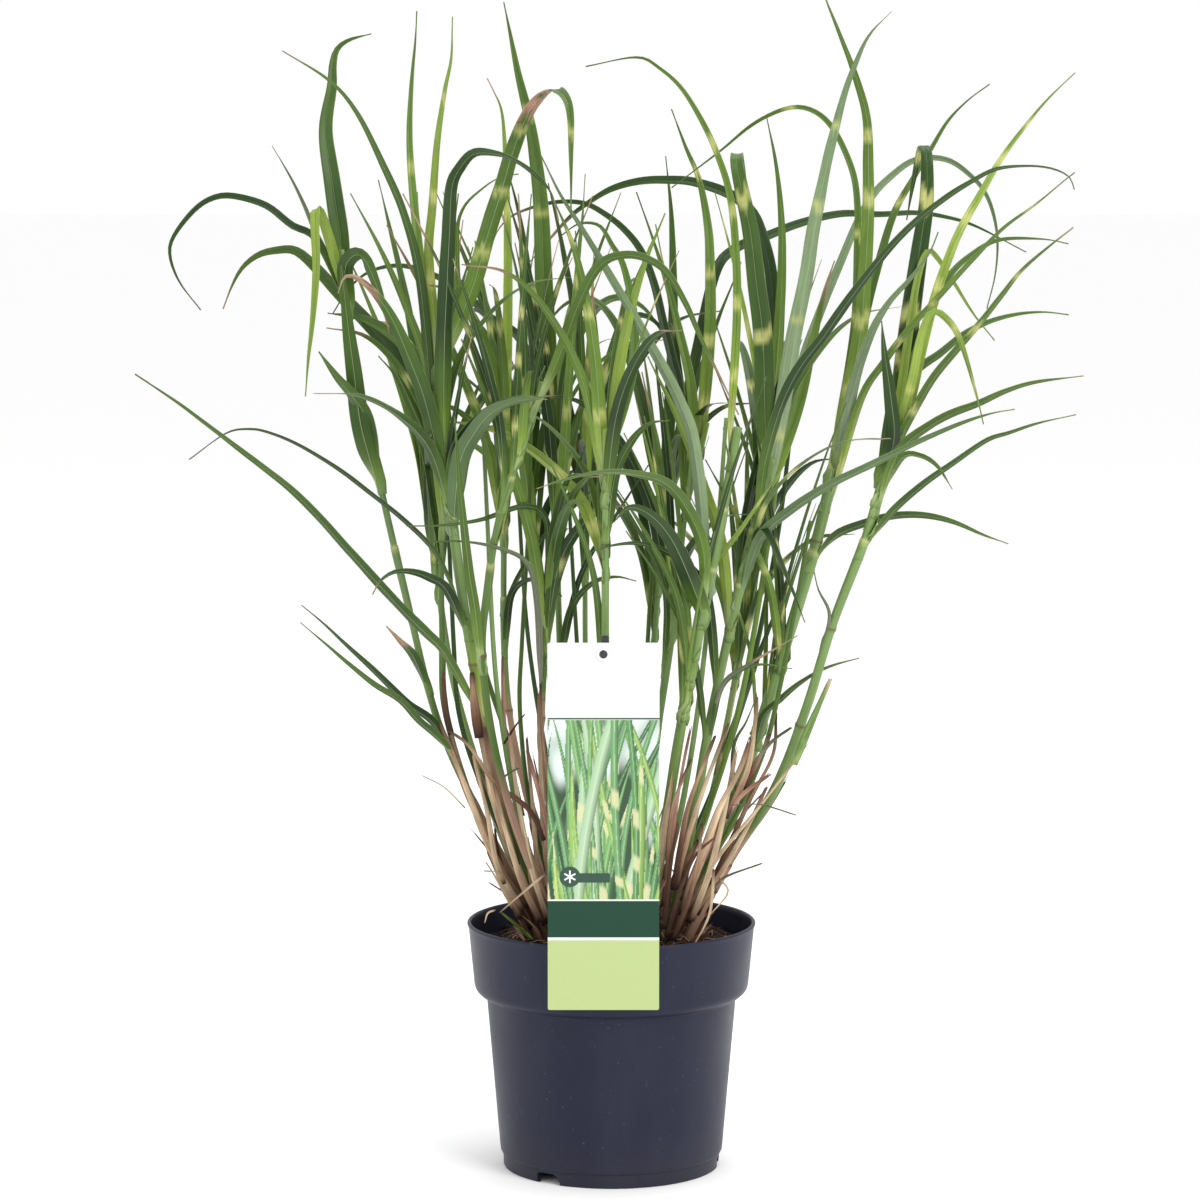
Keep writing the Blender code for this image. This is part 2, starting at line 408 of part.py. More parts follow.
def build_stake(parts, cutters, finish):
    stake = stake_bar("label_stake", parts, finish, 0.0)
    bm = bmesh.new()
    bmesh.ops.create_cone(
        bm, cap_ends=True, segments=12, radius1=PEG_RADIUS, radius2=PEG_RADIUS * 0.8, depth=PEG_LENGTH
    )
    peg = mesh_object("peg", bm, cutters)
    peg.rotation_euler.x = math.radians(90)
    front = CARD_BACK[1] - CARD_SIZE[2] - 0.0012
    peg.location = (STAKE_TOP[0] - 0.0012, front + PEG_LENGTH / 2, PEG_HEIGHT)
    cut(stake, peg, "UNION")
    return stake


def rounded_outline(wide, high, corner):
    """Corner arcs of a card that stands on the X axis, centred on it."""
    points = []
    for quarter, (side, level) in enumerate(((1, 1), (-1, 1), (-1, 0), (1, 0))):
        middle_x = side * (wide / 2 - corner)
        middle_y = level * high + (corner if level == 0 else -corner)
        for step in range(3):
            angle = math.radians(90 * quarter + 45 * step)
            points.append((middle_x + corner * math.cos(angle), middle_y + corner * math.sin(angle)))
    return points


def build_card(parts, finish):
    wide, high, thick = CARD_SIZE
    curve = bpy.data.curves.new("label_card", "CURVE")
    curve.dimensions = "2D"
    curve.fill_mode = "BOTH"
    curve.extrude = thick / 2
    hole_radius = PEG_RADIUS + GAP
    hole_middle = (STAKE_TOP[0] - 0.0012 - CARD_BACK[0], PEG_HEIGHT - CARD_BACK[2])
    hole = [
        (hole_middle[0] + hole_radius * math.cos(math.tau * step / 12),
         hole_middle[1] + hole_radius * math.sin(math.tau * step / 12))
        for step in range(12)
    ]
    for outline in (rounded_outline(wide, high, CARD_CORNER), hole):
        spline = curve.splines.new("POLY")
        spline.points.add(len(outline) - 1)
        for point, (x, y) in zip(spline.points, outline):
            point.co = (x, y, 0.0, 1.0)
        spline.use_cyclic_u = True
    curve.materials.append(finish)
    card = bpy.data.objects.new("label_card", curve)
    parts.objects.link(card)
    card.rotation_euler.x = math.radians(90)
    card.location = (CARD_BACK[0], CARD_BACK[1] - thick / 2, CARD_BACK[2])
    return card


def smooth_path(points, steps):
    """Equal steps along the Catmull-Rom curve through the points."""
    ends = [Vector(point) for point in points]
    ends = [2 * ends[0] - ends[1]] + ends + [2 * ends[-1] - ends[-2]]
    fine = []
    for a, b, c, d in zip(ends, ends[1:], ends[2:], ends[3:]):
        for step in range(8):
            t = step / 8
            fine.append(0.5 * (2 * b + (c - a) * t + (2 * a - 5 * b + 4 * c - d) * t**2
                               + (3 * b - a - 3 * c + d) * t**3))
    fine.append(ends[-2])
    travelled = [0.0]
    for here, ahead in zip(fine, fine[1:]):
        travelled.append(travelled[-1] + (ahead - here).length)
    path, index = [], 0
    for step in range(steps + 1):
        wanted = travelled[-1] * step / steps
        while index < len(fine) - 2 and travelled[index + 1] < wanted:
            index += 1
        span = travelled[index + 1] - travelled[index]
        path.append(fine[index].lerp(fine[index + 1], min(1.0, (wanted - travelled[index]) / span)))
    return path


def build_culm(name, radius, foot, points, parts, finish):
    """A tapering stem that stands upright on the compost, then leans out."""
    ground = SOIL_TOP + GAP
    path = smooth_path([(*foot, ground + 0.004)] + list(points), CULM_STEPS)
    path.insert(0, Vector((*foot, ground)))
    curve = bpy.data.curves.new(name, "CURVE")
    curve.dimensions = "3D"
    curve.bevel_depth = radius
    curve.bevel_resolution = 2
    curve.use_fill_caps = True
    spline = curve.splines.new("POLY")
    spline.points.add(len(path) - 1)
    for index, (point, place) in enumerate(zip(spline.points, path)):
        point.co = (*place, 1.0)
        point.radius = 1.0 - (1.0 - CULM_TAPER) * index / (len(path) - 1)
    curve.materials.append(finish)
    culm = bpy.data.objects.new(name, curve)
    parts.objects.link(culm)
    return culm


def blade_width(along, width):
    """Narrow where it clasps the culm, widest a quarter of the way up, then a long taper."""
    opening = min(1.0, along / 0.15)
    return max(TIP_WIDTH, width * (0.55 + 0.45 * opening) * (1.0 - along**2.2) ** 0.9)


def build_blade(name, radius, row, parts, finish):
    """A strip along the spine, level across at its base, that turns about the spine as it rises."""
    width, turn, twist, points = row
    heading = Vector(points[-1]) - Vector(points[0])
    heading.z = 0.0
    heading.normalize()
    start = Vector(points[0]) + heading * (radius + BLADE_THICKNESS + GAP)
    path = smooth_path([start] + list(points[1:]), BLADE_STEPS)
    level = heading.cross(Vector((0.0, 0.0, 1.0)))
    bm = bmesh.new()
    bmesh.ops.create_grid(bm, x_segments=1, y_segments=BLADE_STEPS, size=0.5)
    for corner in bm.verts:
        index = round((corner.co.y + 0.5) * BLADE_STEPS)
        side = 1.0 if corner.co.x > 0 else -1.0
        along = index / BLADE_STEPS
        tangent = path[min(index + 1, BLADE_STEPS)] - path[max(index - 1, 0)]
        tangent.normalize()
        across = level - level.dot(tangent) * tangent
        across.normalize()
        angle = math.radians(turn * min(1.0, along / 0.2) + twist * along)
        across.rotate(Matrix.Rotation(angle, 3, tangent))
        corner.co = path[index] + across * side * blade_width(along, width) / 2
    blade = mesh_object(name, bm, parts, finish)
    shell = blade.modifiers.new("thickness", "SOLIDIFY")
    shell.thickness = BLADE_THICKNESS
    shell.offset = 0.0
    return blade


def build():
    clear_scene()
    parts = collection("potted_miscanthus_clump")
    cutters = collection("cutters")
    plastic = material("pot_plastic", (0.035, 0.038, 0.055), 0.45)
    compost = material("compost", (0.030, 0.020, 0.015), 0.95)
    card_print = material("card", (0.80, 0.82, 0.80), 0.35)
    stake_plastic = material("stake_plastic", (0.015, 0.015, 0.020), 0.40)
    stem_green = material("stem", (0.27, 0.40, 0.15), 0.45)
    leaf_green = material("leaf", (0.11, 0.24, 0.05), 0.40)

    build_pot(parts, cutters, plastic)
    build_soil(parts, cutters, compost)
    build_card(parts, card_print)
    build_stake(parts, cutters, stake_plastic)
    for name, (radius, foot, points) in CULMS.items():
        build_culm(name, radius, foot, points, parts, stem_green)
    for name, (culm, *row) in BLADES.items():
        build_blade(name, CULMS[culm][0], row, parts, leaf_green)


build()
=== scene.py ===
"""Potted miscanthus clump: the looks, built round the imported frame.

Metres, +Z up, the label on the -Y side. Culms, leaf blades, dry sheaths and straws are swept meshes with
a colour painted along them by formula; the materials add veins, blotches, dust and grain.
"""
import math
import random

import bmesh
import bpy
from mathutils import Matrix, Vector, noise


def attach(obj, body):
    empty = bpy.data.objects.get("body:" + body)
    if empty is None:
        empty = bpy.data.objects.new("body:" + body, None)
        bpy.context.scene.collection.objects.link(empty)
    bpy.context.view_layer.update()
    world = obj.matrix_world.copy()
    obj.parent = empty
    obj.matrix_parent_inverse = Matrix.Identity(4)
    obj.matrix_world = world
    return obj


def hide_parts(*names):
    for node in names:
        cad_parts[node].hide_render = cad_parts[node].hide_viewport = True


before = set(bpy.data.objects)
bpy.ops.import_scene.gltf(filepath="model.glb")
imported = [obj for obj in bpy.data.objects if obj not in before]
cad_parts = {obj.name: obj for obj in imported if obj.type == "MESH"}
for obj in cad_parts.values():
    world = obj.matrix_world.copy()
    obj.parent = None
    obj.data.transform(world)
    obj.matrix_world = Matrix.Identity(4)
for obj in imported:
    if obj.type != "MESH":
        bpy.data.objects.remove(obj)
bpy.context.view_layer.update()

# Pot, as in the frame: radii are to its outer face
RIM_RADIUS = 0.0950
LIP = 0.0026
COLLAR_RADIUS = 0.0940
COLLAR_FOOT_RADIUS = 0.0904
BODY_RADIUS = 0.0822
BASE_RADIUS = 0.0735
FOOT_RADIUS = 0.0716
POT_HEIGHT = 0.1630
COLLAR_DEPTH = 0.0445
FOOT_HEIGHT = 0.0088
FOOT_WIDTH = 0.0034
WALL = 0.0015
FLOOR = 0.0016
NOTCH_SIZE = (0.012, 0.019, 0.0075)
NOTCH_ANGLES = (-125, -5, 115)
DRAIN_RADIUS = 0.0045
DRAIN_CIRCLE = 0.048
CENTRE_HOLE_RADIUS = 0.0060
SOIL_TOP = 0.1500
SOIL_RADIUS = 0.0900
# Loose things on the compost: how far from the middle they may lie, and how many there are
LITTER_REACH = 0.0885
CRUMBS = 620
FIBRES = 330

# Label, as in the frame
CARD_SIZE = (0.0708, 0.2353, 0.0007)
CARD_BACK = (-0.0053, -0.0956, 0.1230)
CARD_CORNER = 0.0012
PEG_RADIUS = 0.0023
PEG_MIDDLE = (-0.0054, 0.3510)
STAKE_SIZE = (0.0044, 0.0022, 0.2670)
STAKE_TOP = (-0.0042, -0.0941, 0.3625)
STAKE_LEAN = math.radians(4.2)
# Heights of the edges of the card's bands; the picture fills the space between the second and the third
FOOT_BAND_TOP = 0.1680
DARK_BAND = (0.1696, 0.1924)
PICTURE = (0.1944, 0.3092)
RULE_TOP = 0.3105
BADGE_MIDDLE = (-0.0266, 0.2089)
BADGE_RADIUS = 0.0066
PRINTED_BLADES = 74
PAPER = (0.67, 0.68, 0.66)

# Blades: thickness, spacing of the points along one, how far above its start it still clasps its culm, and
# how far the blades of the tables turn their faces to the label's side
BLADE_THICKNESS = 0.00030
BLADE_STEP = 0.0042
CLASP_LENGTH = 0.016
FACING = 0.75
# Where the points across a blade lie, as shares of its half width: close together beside the midrib. The
# second row is for dry strips.
BLADE_COLUMNS = (-1.0, -0.80, -0.52, -0.24, -0.055, 0.0, 0.055, 0.24, 0.52, 0.80, 1.0)
STRIP_COLUMNS = (-1.0, -0.6, -0.2, 0.2, 0.6, 1.0)
MIDRIB_DEPTH = 0.00022
# A blade's spine starts this far down its sheath, at two points
SHEATH_STARTS = (0.018, 0.006)
# Culms: points round one, how deep they are rooted, how far their line is drawn out past its end, and how
# much a sheath's end, a joint and the seam of a sheath stand out
CULM_SIDES = 16
ROOT_DEPTH = 0.006
SPEAR = 0.014
COLLAR_SWELL = 0.00045
JOINT_SWELL = 0.00055
SEAM_LIP = 0.00022
UP = Vector((0.0, 0.0, 1.0))

# Camera, in metres and radians
LENS = 120.0
CAMERA_PLACE = (-0.0075, -2.6, 0.653)
CAMERA_TILT = math.radians(6.1)

# Grass blades added round the culms by formula, to fill the clump: how many, the seed of their places, how
# high they may rise and how far they may reach towards the front or back. The outer culms get none.
FILL_BLADES = 128
FILL_SEED = 17
FILL_TOP = 0.640
FILL_DEPTH = 0.225
OUTER_CULMS = ("culm_01", "culm_04", "culm_16")

# Colours of the old sheaths, and of the stubble between them, which is darker; the stubble's count and reach
DRY_TONES = ("tan", "tan", "straw", "straw", "pink", "pink", "brown", "brown", "umber")
STUBBLE_TONES = ("tan", "pink", "brown", "brown", "umber", "umber", "umber")
STUBBLE = 190
STUBBLE_REACH = 0.058

COLOURS = {
    "dark": (0.013, 0.037, 0.006),
    "deep": (0.028, 0.068, 0.009),
    "green": (0.060, 0.118, 0.014),
    "fresh": (0.112, 0.196, 0.025),
    "wax": (0.150, 0.240, 0.072),
    "lime": (0.205, 0.295, 0.040),
    "yellow": (0.500, 0.510, 0.170),
    "cream": (0.600, 0.570, 0.235),
    "blue": (0.080, 0.136, 0.052),
    "silver": (0.190, 0.265, 0.140),
    "pale": (0.270, 0.345, 0.130),
    "straw": (0.500, 0.385, 0.250),
    "tan": (0.340, 0.215, 0.135),
    "pink": (0.335, 0.185, 0.135),
    "brown": (0.115, 0.055, 0.032),
    "umber": (0.034, 0.018, 0.012),
    "grey": (0.200, 0.200, 0.150),
}

# The tables that follow are in millimetres. Culms: radius at the foot, where it stands on the compost (x, y),
# and points up its middle
CULM_TABLE = (
    (2.6, (-50, 4), ((-63, 1, 187), (-86, -4, 233), (-113.5, -10, 297), (-133, -16, 377), (-150, -21, 454),
        (-164.5, -26, 524.5), (-171.5, -30, 590))),
    (3.8, (-40, -18), ((-52.5, -22, 191), (-74, -28, 253), (-89, -36, 337.5), (-95.5, -42, 379),
        (-103, -48, 438), (-110, -54, 492), (-111.5, -57, 533))),
    (2.8, (-46, 18), ((-69.5, 20, 210), (-94, 24, 279), (-109, 28, 342), (-121, 36, 440))),
    (2.2, (-53, -10), ((-79, -13, 210), (-106.6, -18, 296), (-110, -21, 349), (-110, -26, 440))),
    (2.4, (-34, 12), ((-52, 15, 226), (-67.6, 18, 301), (-71, 22, 375), (-69, 26, 478))),
    (2.8, (-28, -32), ((-56.5, -40, 216), (-75, -47, 282.5), (-83, -52, 345), (-79, -57, 390),
        (-71, -62, 436), (-48, -72, 508))),
    (2.4, (-26, -10), ((-45, -16, 269), (-45.5, -18, 300), (-43, -21, 349), (-39, -24, 401))),
    (2.5, (-16, 26), ((-31, 32, 269), (-34.5, 38, 349), (-38, 49, 490))),
    (2.1, (-6, 42), ((-16, 50, 300), (-17.5, 58, 380), (-17, 68, 455))),
    (3, (2, -22), ((-2, -40, 260), (-4, -60, 349), (-4, -78, 420), (-4, -92, 480))),
    (2.6, (16, 8), ((27, 14, 255), (36, 20, 330), (42.5, 27, 401), (60, 39, 475))),
    (3.8, (22, -26), ((32.5, -32, 216), (43, -38, 286), (53, -44, 342), (67, -51, 414), (78, -56, 478))),
    (3.6, (38, -10), ((55, -14, 243), (64, -18, 296), (76.7, -24, 358.5), (91.6, -32, 425),
        (100, -36, 457.5))),
    (2.6, (34, 34), ((62, 42, 221), (75, 48, 275), (88, 54, 344), (105, 62, 435))),
    (4.5, (43, 14), ((67, 14, 210), (90, 12, 266), (114.4, 6, 345), (134, 1, 414), (148, -4, 478))),
    (3.6, (51, -8), ((76, -12, 205), (106, -18, 252), (126, -26, 306), (143, -34, 364), (164, -43, 423),
        (178, -50, 477))),
    (2.6, (14, 48), ((22, 64, 260), (30, 84, 350), (36, 110, 440))),
    (2.6, (-24, 46), ((-34, 64, 260), (-46, 86, 350), (-56, 112, 440))),
)

# How a culm is coloured from its foot to its top, the heights of its sheath ends and of its joints, by number
CULM_PLAIN = (
    ((0.0, "umber"), (0.06, "brown"), (0.12, "green"), (0.30, "wax"), (0.85, "wax"), (1.0, "lime")), (), ())
CULM_LOOKS = {
    1: (((0.0, "umber"), (0.06, "brown"), (0.11, "tan"), (0.22, "tan"), (0.26, "green"), (0.45, "wax"),
        (0.8, "blue"), (1.0, "wax")), (412, 524, 590), (365,)),
    2: (((0.0, "umber"), (0.07, "brown"), (0.12, "green"), (0.22, "green"), (0.27, "tan"), (0.34, "pink"),
        (0.38, "brown"), (0.41, "yellow"), (0.47, "lime"), (0.55, "wax"), (0.85, "wax"),
        (1.0, "lime")), (434, 488.5, 530), (296, 338)),
    4: (((0.0, "umber"), (0.1, "brown"), (0.16, "tan"), (0.45, "tan"), (0.5, "green"),
        (1.0, "wax")), (349,), ()),
    5: (((0.0, "umber"), (0.1, "brown"), (0.18, "pink"), (0.45, "tan"), (0.5, "wax"),
        (1.0, "wax")), (375,), (300,)),
    6: (((0.0, "umber"), (0.1, "brown"), (0.16, "tan"), (0.28, "pink"), (0.36, "green"),
        (1.0, "wax")), (404, 462), (345,)),
    7: (((0.0, "umber"), (0.1, "brown"), (0.2, "tan"), (0.6, "tan"), (0.66, "green"),
        (1.0, "wax")), (), (300,)),
    12: (((0.0, "brown"), (0.06, "green"), (0.2, "fresh"), (0.6, "wax"), (1.0, "wax")), (401, 440), (342,)),
    13: (((0.0, "brown"), (0.06, "green"), (0.15, "fresh"), (0.3, "wax"),
        (1.0, "wax")), (389, 424.5), (358.5,)),
    14: (((0.0, "umber"), (0.1, "tan"), (0.25, "pale"), (1.0, "pale")), (348,), ()),
    15: (((0.0, "umber"), (0.08, "brown"), (0.14, "wax"), (0.2, "pale"), (0.22, "green"), (0.4, "wax"),
        (1.0, "wax")), (408, 452), (250, 414)),
    16: (((0.0, "umber"), (0.07, "tan"), (0.2, "pink"), (0.26, "green"), (0.34, "wax"),
        (1.0, "wax")), (419, 466), (296, 360.5)),
}

# Large leaf blades: the number of the culm that each one leaves, its greatest width, the angle that it turns
# through about its own spine just above its base, how much further it twists by its tip, its look, and points
# along its spine. In a look, slim narrows the width of its solid and show is how far it faces the label.
BLADE_TABLE = (
    (1, 12, 10, 10, dict(tone="deep", fold=30), ((-171.8, -29, 596), (-179, -22, 647), (-183.6, -14, 680),
        (-180, -8, 707), (-179.4, -4, 722), (-176.8, 0, 732), (-169, 2, 738), (-155, 4, 742))),
    (1, 8, -25, -30, dict(tone="dark", slim=0.65, show=0.5), ((-170, -29, 578), (-188, -36, 609.5),
        (-204, -40, 619.5), (-220, -42, 632), (-240, -42, 638), (-253.5, -40, 637), (-266.5, -36, 629),
        (-280, -32, 612.5), (-283, -28, 600), (-277.5, -24, 583), (-264.5, -20, 565))),
    (2, 13, -45, 0, dict(tone="deep", dry=0.04, slim=0.85, fold=26), ((-108, -52.5, 478), (-126, -36, 512),
        (-140, -22, 537), (-156.5, -8, 555), (-177, 4, 575), (-195, 12, 594), (-206.5, 16, 602.5),
        (-218.5, 20, 602.5), (-230.5, 22, 599.5), (-241, 24, 591.5), (-248, 25, 580), (-254.5, 26, 564))),
    (2, 10, -40, 10, dict(tone="deep", dry=0.03, slim=0.7), ((-110, -54.5, 497), (-121, -66, 583),
        (-130.5, -76, 626), (-143, -84, 657), (-159, -90, 690), (-176, -94, 710), (-204.5, -98, 728))),
    (2, 9, 10, 0, dict(tone="fresh", slim=0.7, bands=0.15), ((-111.5, -56.5, 536), (-122, -45, 598),
        (-127.5, -34, 647), (-129.3, -26, 679), (-128, -18, 712), (-126, -12, 736), (-125, -8, 756))),
    (2, 9, 10, 10, dict(tone="lime", bands=0.35, slim=0.7), ((-114.5, -57.5, 545), (-115.5, -65, 599),
        (-113, -70, 631), (-109.5, -78, 671), (-104.5, -85, 703), (-100, -90, 724), (-99, -95, 749))),
    (2, 13, 30, 10, dict(tone="green", bands=0.15, slim=0.9, scorch=((0.62, 0.016), (0.69, 0.006))), (
        (-111.5, -57, 534), (-97, -66, 558.5), (-87, -75, 583), (-77.5, -90, 615), (-69, -105, 640.5),
        (-61, -125, 666), (-52, -150, 687), (-44, -170, 697.5), (-36, -190, 702), (-29, -208, 699),
        (-25, -222, 688), (-24.5, -235, 662), (-24.5, -240, 628))),
    (2, 13, 30, 20, dict(tone="dark", slim=0.9, dry=0.02), ((-108.5, -52.5, 485), (-106, -70, 540),
        (-103.5, -86, 583), (-101.5, -94, 615), (-99.5, -104, 643.5), (-94, -116, 655.5),
        (-84.5, -130, 664.5), (-69, -145, 664), (-58, -155, 659.5), (-47, -165, 652), (-37, -175, 640.5),
        (-32.5, -180, 624))),
    (2, 13, 40, 10, dict(tone="blue", dry=0.03, show=0.9), ((-103, -48, 440), (-96.5, -60, 470),
        (-86.6, -75, 489.5), (-76, -95, 503), (-63, -120, 511), (-50, -140, 514.5), (-40, -155, 515))),
    (2, 11, -50, 0, dict(tone="deep", slim=0.72), ((-84, -33, 312), (-106.5, -48, 344.5), (-119, -52, 359),
        (-135, -57, 376), (-165.5, -65, 411), (-197, -71, 447), (-222, -75, 468.5), (-247, -78, 488),
        (-272, -80, 507.5), (-300, -83, 527))),
    (2, 6, -30, 0, dict(tone="dark", slim=0.65), ((-95.5, -42, 384), (-110, -50, 406), (-119, -52, 418.5),
        (-135, -54, 434), (-153.5, -55, 449), (-173, -55, 464), (-198.5, -53, 479.5), (-219, -50, 488),
        (-232, -47, 490), (-247, -44, 487), (-271, -40, 470))),
    (2, 10, -40, 0, dict(tone="dark", dry=0.06, slim=0.8), ((-94, -40.5, 370), (-106, -58, 388.5),
        (-116.5, -66, 396.5), (-127, -74, 401), (-137.5, -80, 401.5), (-146, -85, 396.5),
        (-151, -88, 388))),
    (5, 9, 20, 0, dict(tone="lime", dry=0.05, slim=0.8, bands=0.3), ((-69, 26, 482), (-68.5, 30, 547),
        (-68, 34, 597), (-69, 38, 646.5), (-70.5, 40, 680), (-72.5, 42, 695), (-76, 43, 703.5),
        (-81.5, 45, 714.5))),
    (6, 12, 35, 10, dict(tone="green", dry=0.12, slim=0.65), ((-47, -73, 512), (-32.5, -90, 540),
        (-23, -105, 566.5), (-13.5, -120, 587.5), (-4.5, -130, 598.5), (8, -145, 602.5), (20, -155, 601),
        (32.5, -165, 593), (44, -178, 574.5), (53, -190, 554), (62, -198, 536), (75.5, -205, 508.5))),
    (8, 13, -50, -5, dict(tone="green", fold=28, bands=0.15), ((-38, 50, 494), (-42, 52, 529.5),
        (-44.5, 56, 579), (-46.5, 60, 630), (-50.5, 62, 665), (-54.5, 64, 689), (-61.5, 66, 717.5),
        (-67.5, 68, 747.5), (-71, 70, 765))),
    (11, 11, -35, -15, dict(tone="dark", slim=0.6, dry=0.1), ((49, 33, 440), (45.7, 42, 503),
        (40.5, 50, 530), (34.5, 58, 554), (28.7, 66, 579), (20, 74, 601), (8, 82, 616), (-5, 88, 626),
        (-18, 94, 632.5), (-35, 100, 633.5), (-52, 106, 630), (-67.5, 110, 623.5), (-76.5, 113, 614),
        (-82, 115, 600.5))),
    (11, 11.5, -60, 0, dict(tone="fresh", slim=0.75, bands=0.45), ((60.5, 39.5, 479), (65, 46, 546),
        (65.3, 54, 596.5), (63.5, 60, 621.5), (58, 66, 649), (49.3, 72, 670), (40, 80, 695))),
    (12, 11.5, -50, 5, dict(tone="silver", slim=0.8), ((64.5, -50, 402), (52.5, -66, 477), (42.5, -80, 509),
        (30, -90, 534.5), (12.5, -100, 565.5), (-5, -108, 595.5), (-18.7, -113, 618.5), (-32.3, -117, 640),
        (-44, -120, 663.5))),
    (12, 9, -20, -10, dict(tone="fresh", slim=0.65, bands=0.3), ((78.5, -56.5, 482), (79, -60, 558),
        (78, -64, 607), (74, -68, 640), (66, -70, 665), (56.3, -70, 685.5), (43.7, -70, 705.5),
        (30, -68, 718), (15.5, -64, 725), (-16.5, -55, 719.5))),
    (13, 13.5, 0, 0, dict(tone="deep", bands=0.35, fold=12), ((100.5, -36.5, 461.5), (98, -40, 506),
        (96.3, -45, 550), (92, -50, 582.5), (88, -56, 614.5), (82.5, -60, 640), (79, -60, 657),
        (79, -53, 664), (81, -35, 662), (86, -10, 640), (92, 5, 602))),
    (13, 14, 40, 10, dict(tone="silver", bands=0.15, slim=0.9), ((100, -35.5, 457), (110.5, -42, 506.5),
        (117, -49, 550), (123, -55, 582.5), (127.6, -60, 614.5), (133, -64, 646.5), (140.3, -68, 680),
        (147, -71, 705.5), (153.5, -74, 722.5), (161.4, -77, 739), (174.5, -80, 753))),
    (13, 12.5, 50, 0, dict(tone="dark", slim=0.65), ((92.5, -32.5, 428), (97, -54, 465),
        (106.4, -71, 504.5), (118.3, -80, 530.5), (132, -90, 550), (150.6, -102, 578), (169.4, -110, 603),
        (186.3, -116, 621.5), (204.6, -120, 636.5), (220.5, -123, 647), (236, -125, 655), (255, -125, 657),
        (270, -125, 655.5), (281, -125, 650.5), (284.5, -125, 642.5))),
    (13, 8, 50, 0, dict(tone="blue", dry=0.03), ((83.5, -28, 389), (94.5, -44, 418), (113, -60, 438),
        (137.5, -75, 456), (162, -85, 469), (187, -90, 482), (215, -93, 495), (236.7, -95, 502.5),
        (252.3, -96, 505.5))),
    (12, 11, -30, 0, dict(tone="green", dry=0.03, slim=0.8), ((60.5, -47.5, 382), (58.5, -67, 412),
        (49, -88, 439), (35, -112, 459), (17, -140, 467.5), (-4.7, -175, 472), (-28.6, -210, 470),
        (-45, -238, 467))),
    (15, 9, 30, -20, dict(tone="green", slim=0.6, bands=0.25), ((148.5, -3, 482), (156.7, 0, 549),
        (159.5, 8, 606), (159.7, 11, 630), (157.5, 14, 650), (151, 18, 668.5), (143, 22, 683),
        (133.3, 26, 692), (121.4, 30, 695.5), (108, 34, 692.5), (91.3, 38, 683.5), (72.6, 42, 668),
        (55.6, 46, 655), (39.7, 50, 643))),
    (15, 11.5, 20, 10, dict(tone="fresh", slim=0.9, bands=0.3), ((145, -3.5, 465), (159.3, -12, 540.5),
        (162.5, -20, 581.5), (164.3, -26, 622.5), (164, -30, 655), (162.4, -34, 687.5), (154.5, -37, 715),
        (144.8, -40, 739.5), (136.3, -42, 760), (131.8, -43, 773))),
    (15, 9, 40, 0, dict(tone="green", bands=0.35, slim=0.75), ((146, -3.5, 472), (158.4, 8, 522.5),
        (166, 18, 561.5), (174.7, 27, 593.5), (185.2, 36, 626), (198.3, 44, 649), (210.7, 50, 669),
        (221.6, 55, 686.5), (234.8, 60, 700), (250, 66, 711))),
    (15, 9.5, 50, 0, dict(tone="fresh", slim=0.65, bands=0.3), ((141.7, -2, 450), (160, -30, 506.5),
        (173.8, -45, 532), (188.6, -60, 554), (207, -72, 576), (225.5, -80, 597.5), (244.6, -86, 618),
        (263.6, -90, 632.5), (280.5, -94, 647), (288, -96, 653))),
    (15, 8, 35, 0, dict(tone="deep", dry=0.04, slim=0.85), ((132.5, 1.5, 409), (146.8, -4, 418),
        (164, -8, 425.7), (183, -12, 431), (202.3, -16, 432), (221.2, -20, 428), (240.3, -24, 420),
        (256.2, -28, 414.5))),
    (16, 14, 0, 0, dict(tone="dark", bands=0.5, fold=12), ((177.5, -48, 484), (185.5, -34, 512),
        (191, -20, 550), (195, -10, 575.5), (199.3, -4, 604), (203.2, -4, 633), (203.4, -6, 659),
        (202.5, 0, 669), (201, 14, 668), (198, 30, 650), (194, 40, 622))),
    (16, 11, 45, 30, dict(tone="lime", slim=0.65, bands=0.45), ((178, -50.5, 476), (189.5, -54.5, 507),
        (195.5, -52, 534.5), (203.8, -46, 567), (212.8, -44, 595), (222.8, -36, 617.5), (237.3, -28, 642),
        (249, -20, 661), (263.4, -12, 680), (280.2, -6, 699.5), (298.5, 0, 717))),
    (16, 9, 45, 0, dict(tone="green", dry=0.04, slim=0.75, bands=0.3), ((175.5, -49, 466), (184, -60, 486),
        (194.5, -67, 508), (204.5, -72, 525.5), (218.5, -75, 543), (232.6, -80, 560), (244.7, -85, 576.5),
        (255.6, -88, 591), (271.3, -90, 605.5), (288, -92, 619))),
    (16, 8.5, 45, 0, dict(tone="deep", slim=0.8), ((168, -45, 440), (181.3, -20, 507), (197.4, -8, 525.5),
        (213, 0, 536), (229.7, 8, 548.5), (247.1, 15, 556.5), (266.2, 22, 561), (284, 28, 562),
        (300.5, 34, 560))),
    (16, 9, 45, 0, dict(tone="green", dry=0.03, slim=0.85), ((171, -46.5, 450), (177, -60, 464),
        (185, -71, 481), (200.5, -79, 494), (214, -84, 502), (230, -88, 508.5), (246.8, -91, 516.5),
        (265.7, -94, 522.5), (295, -97, 526.5))),
    (16, 7, 45, 0, dict(tone="deep", slim=0.8), ((164, -43, 421), (179.2, -52, 437), (199, -57, 455.5),
        (217.7, -62, 469.5), (237.8, -66, 484), (251.7, -70, 489), (270, -73, 495.5), (293, -76, 501))),
    (14, 13, 40, 30, dict(tone="silver", slim=0.5), ((106, 62, 439), (125.2, 68, 519.5), (138.7, 72, 559.5),
        (152.3, 76, 592.5), (165, 80, 622), (175.1, 83, 639), (186, 86, 650), (199.6, 89, 660),
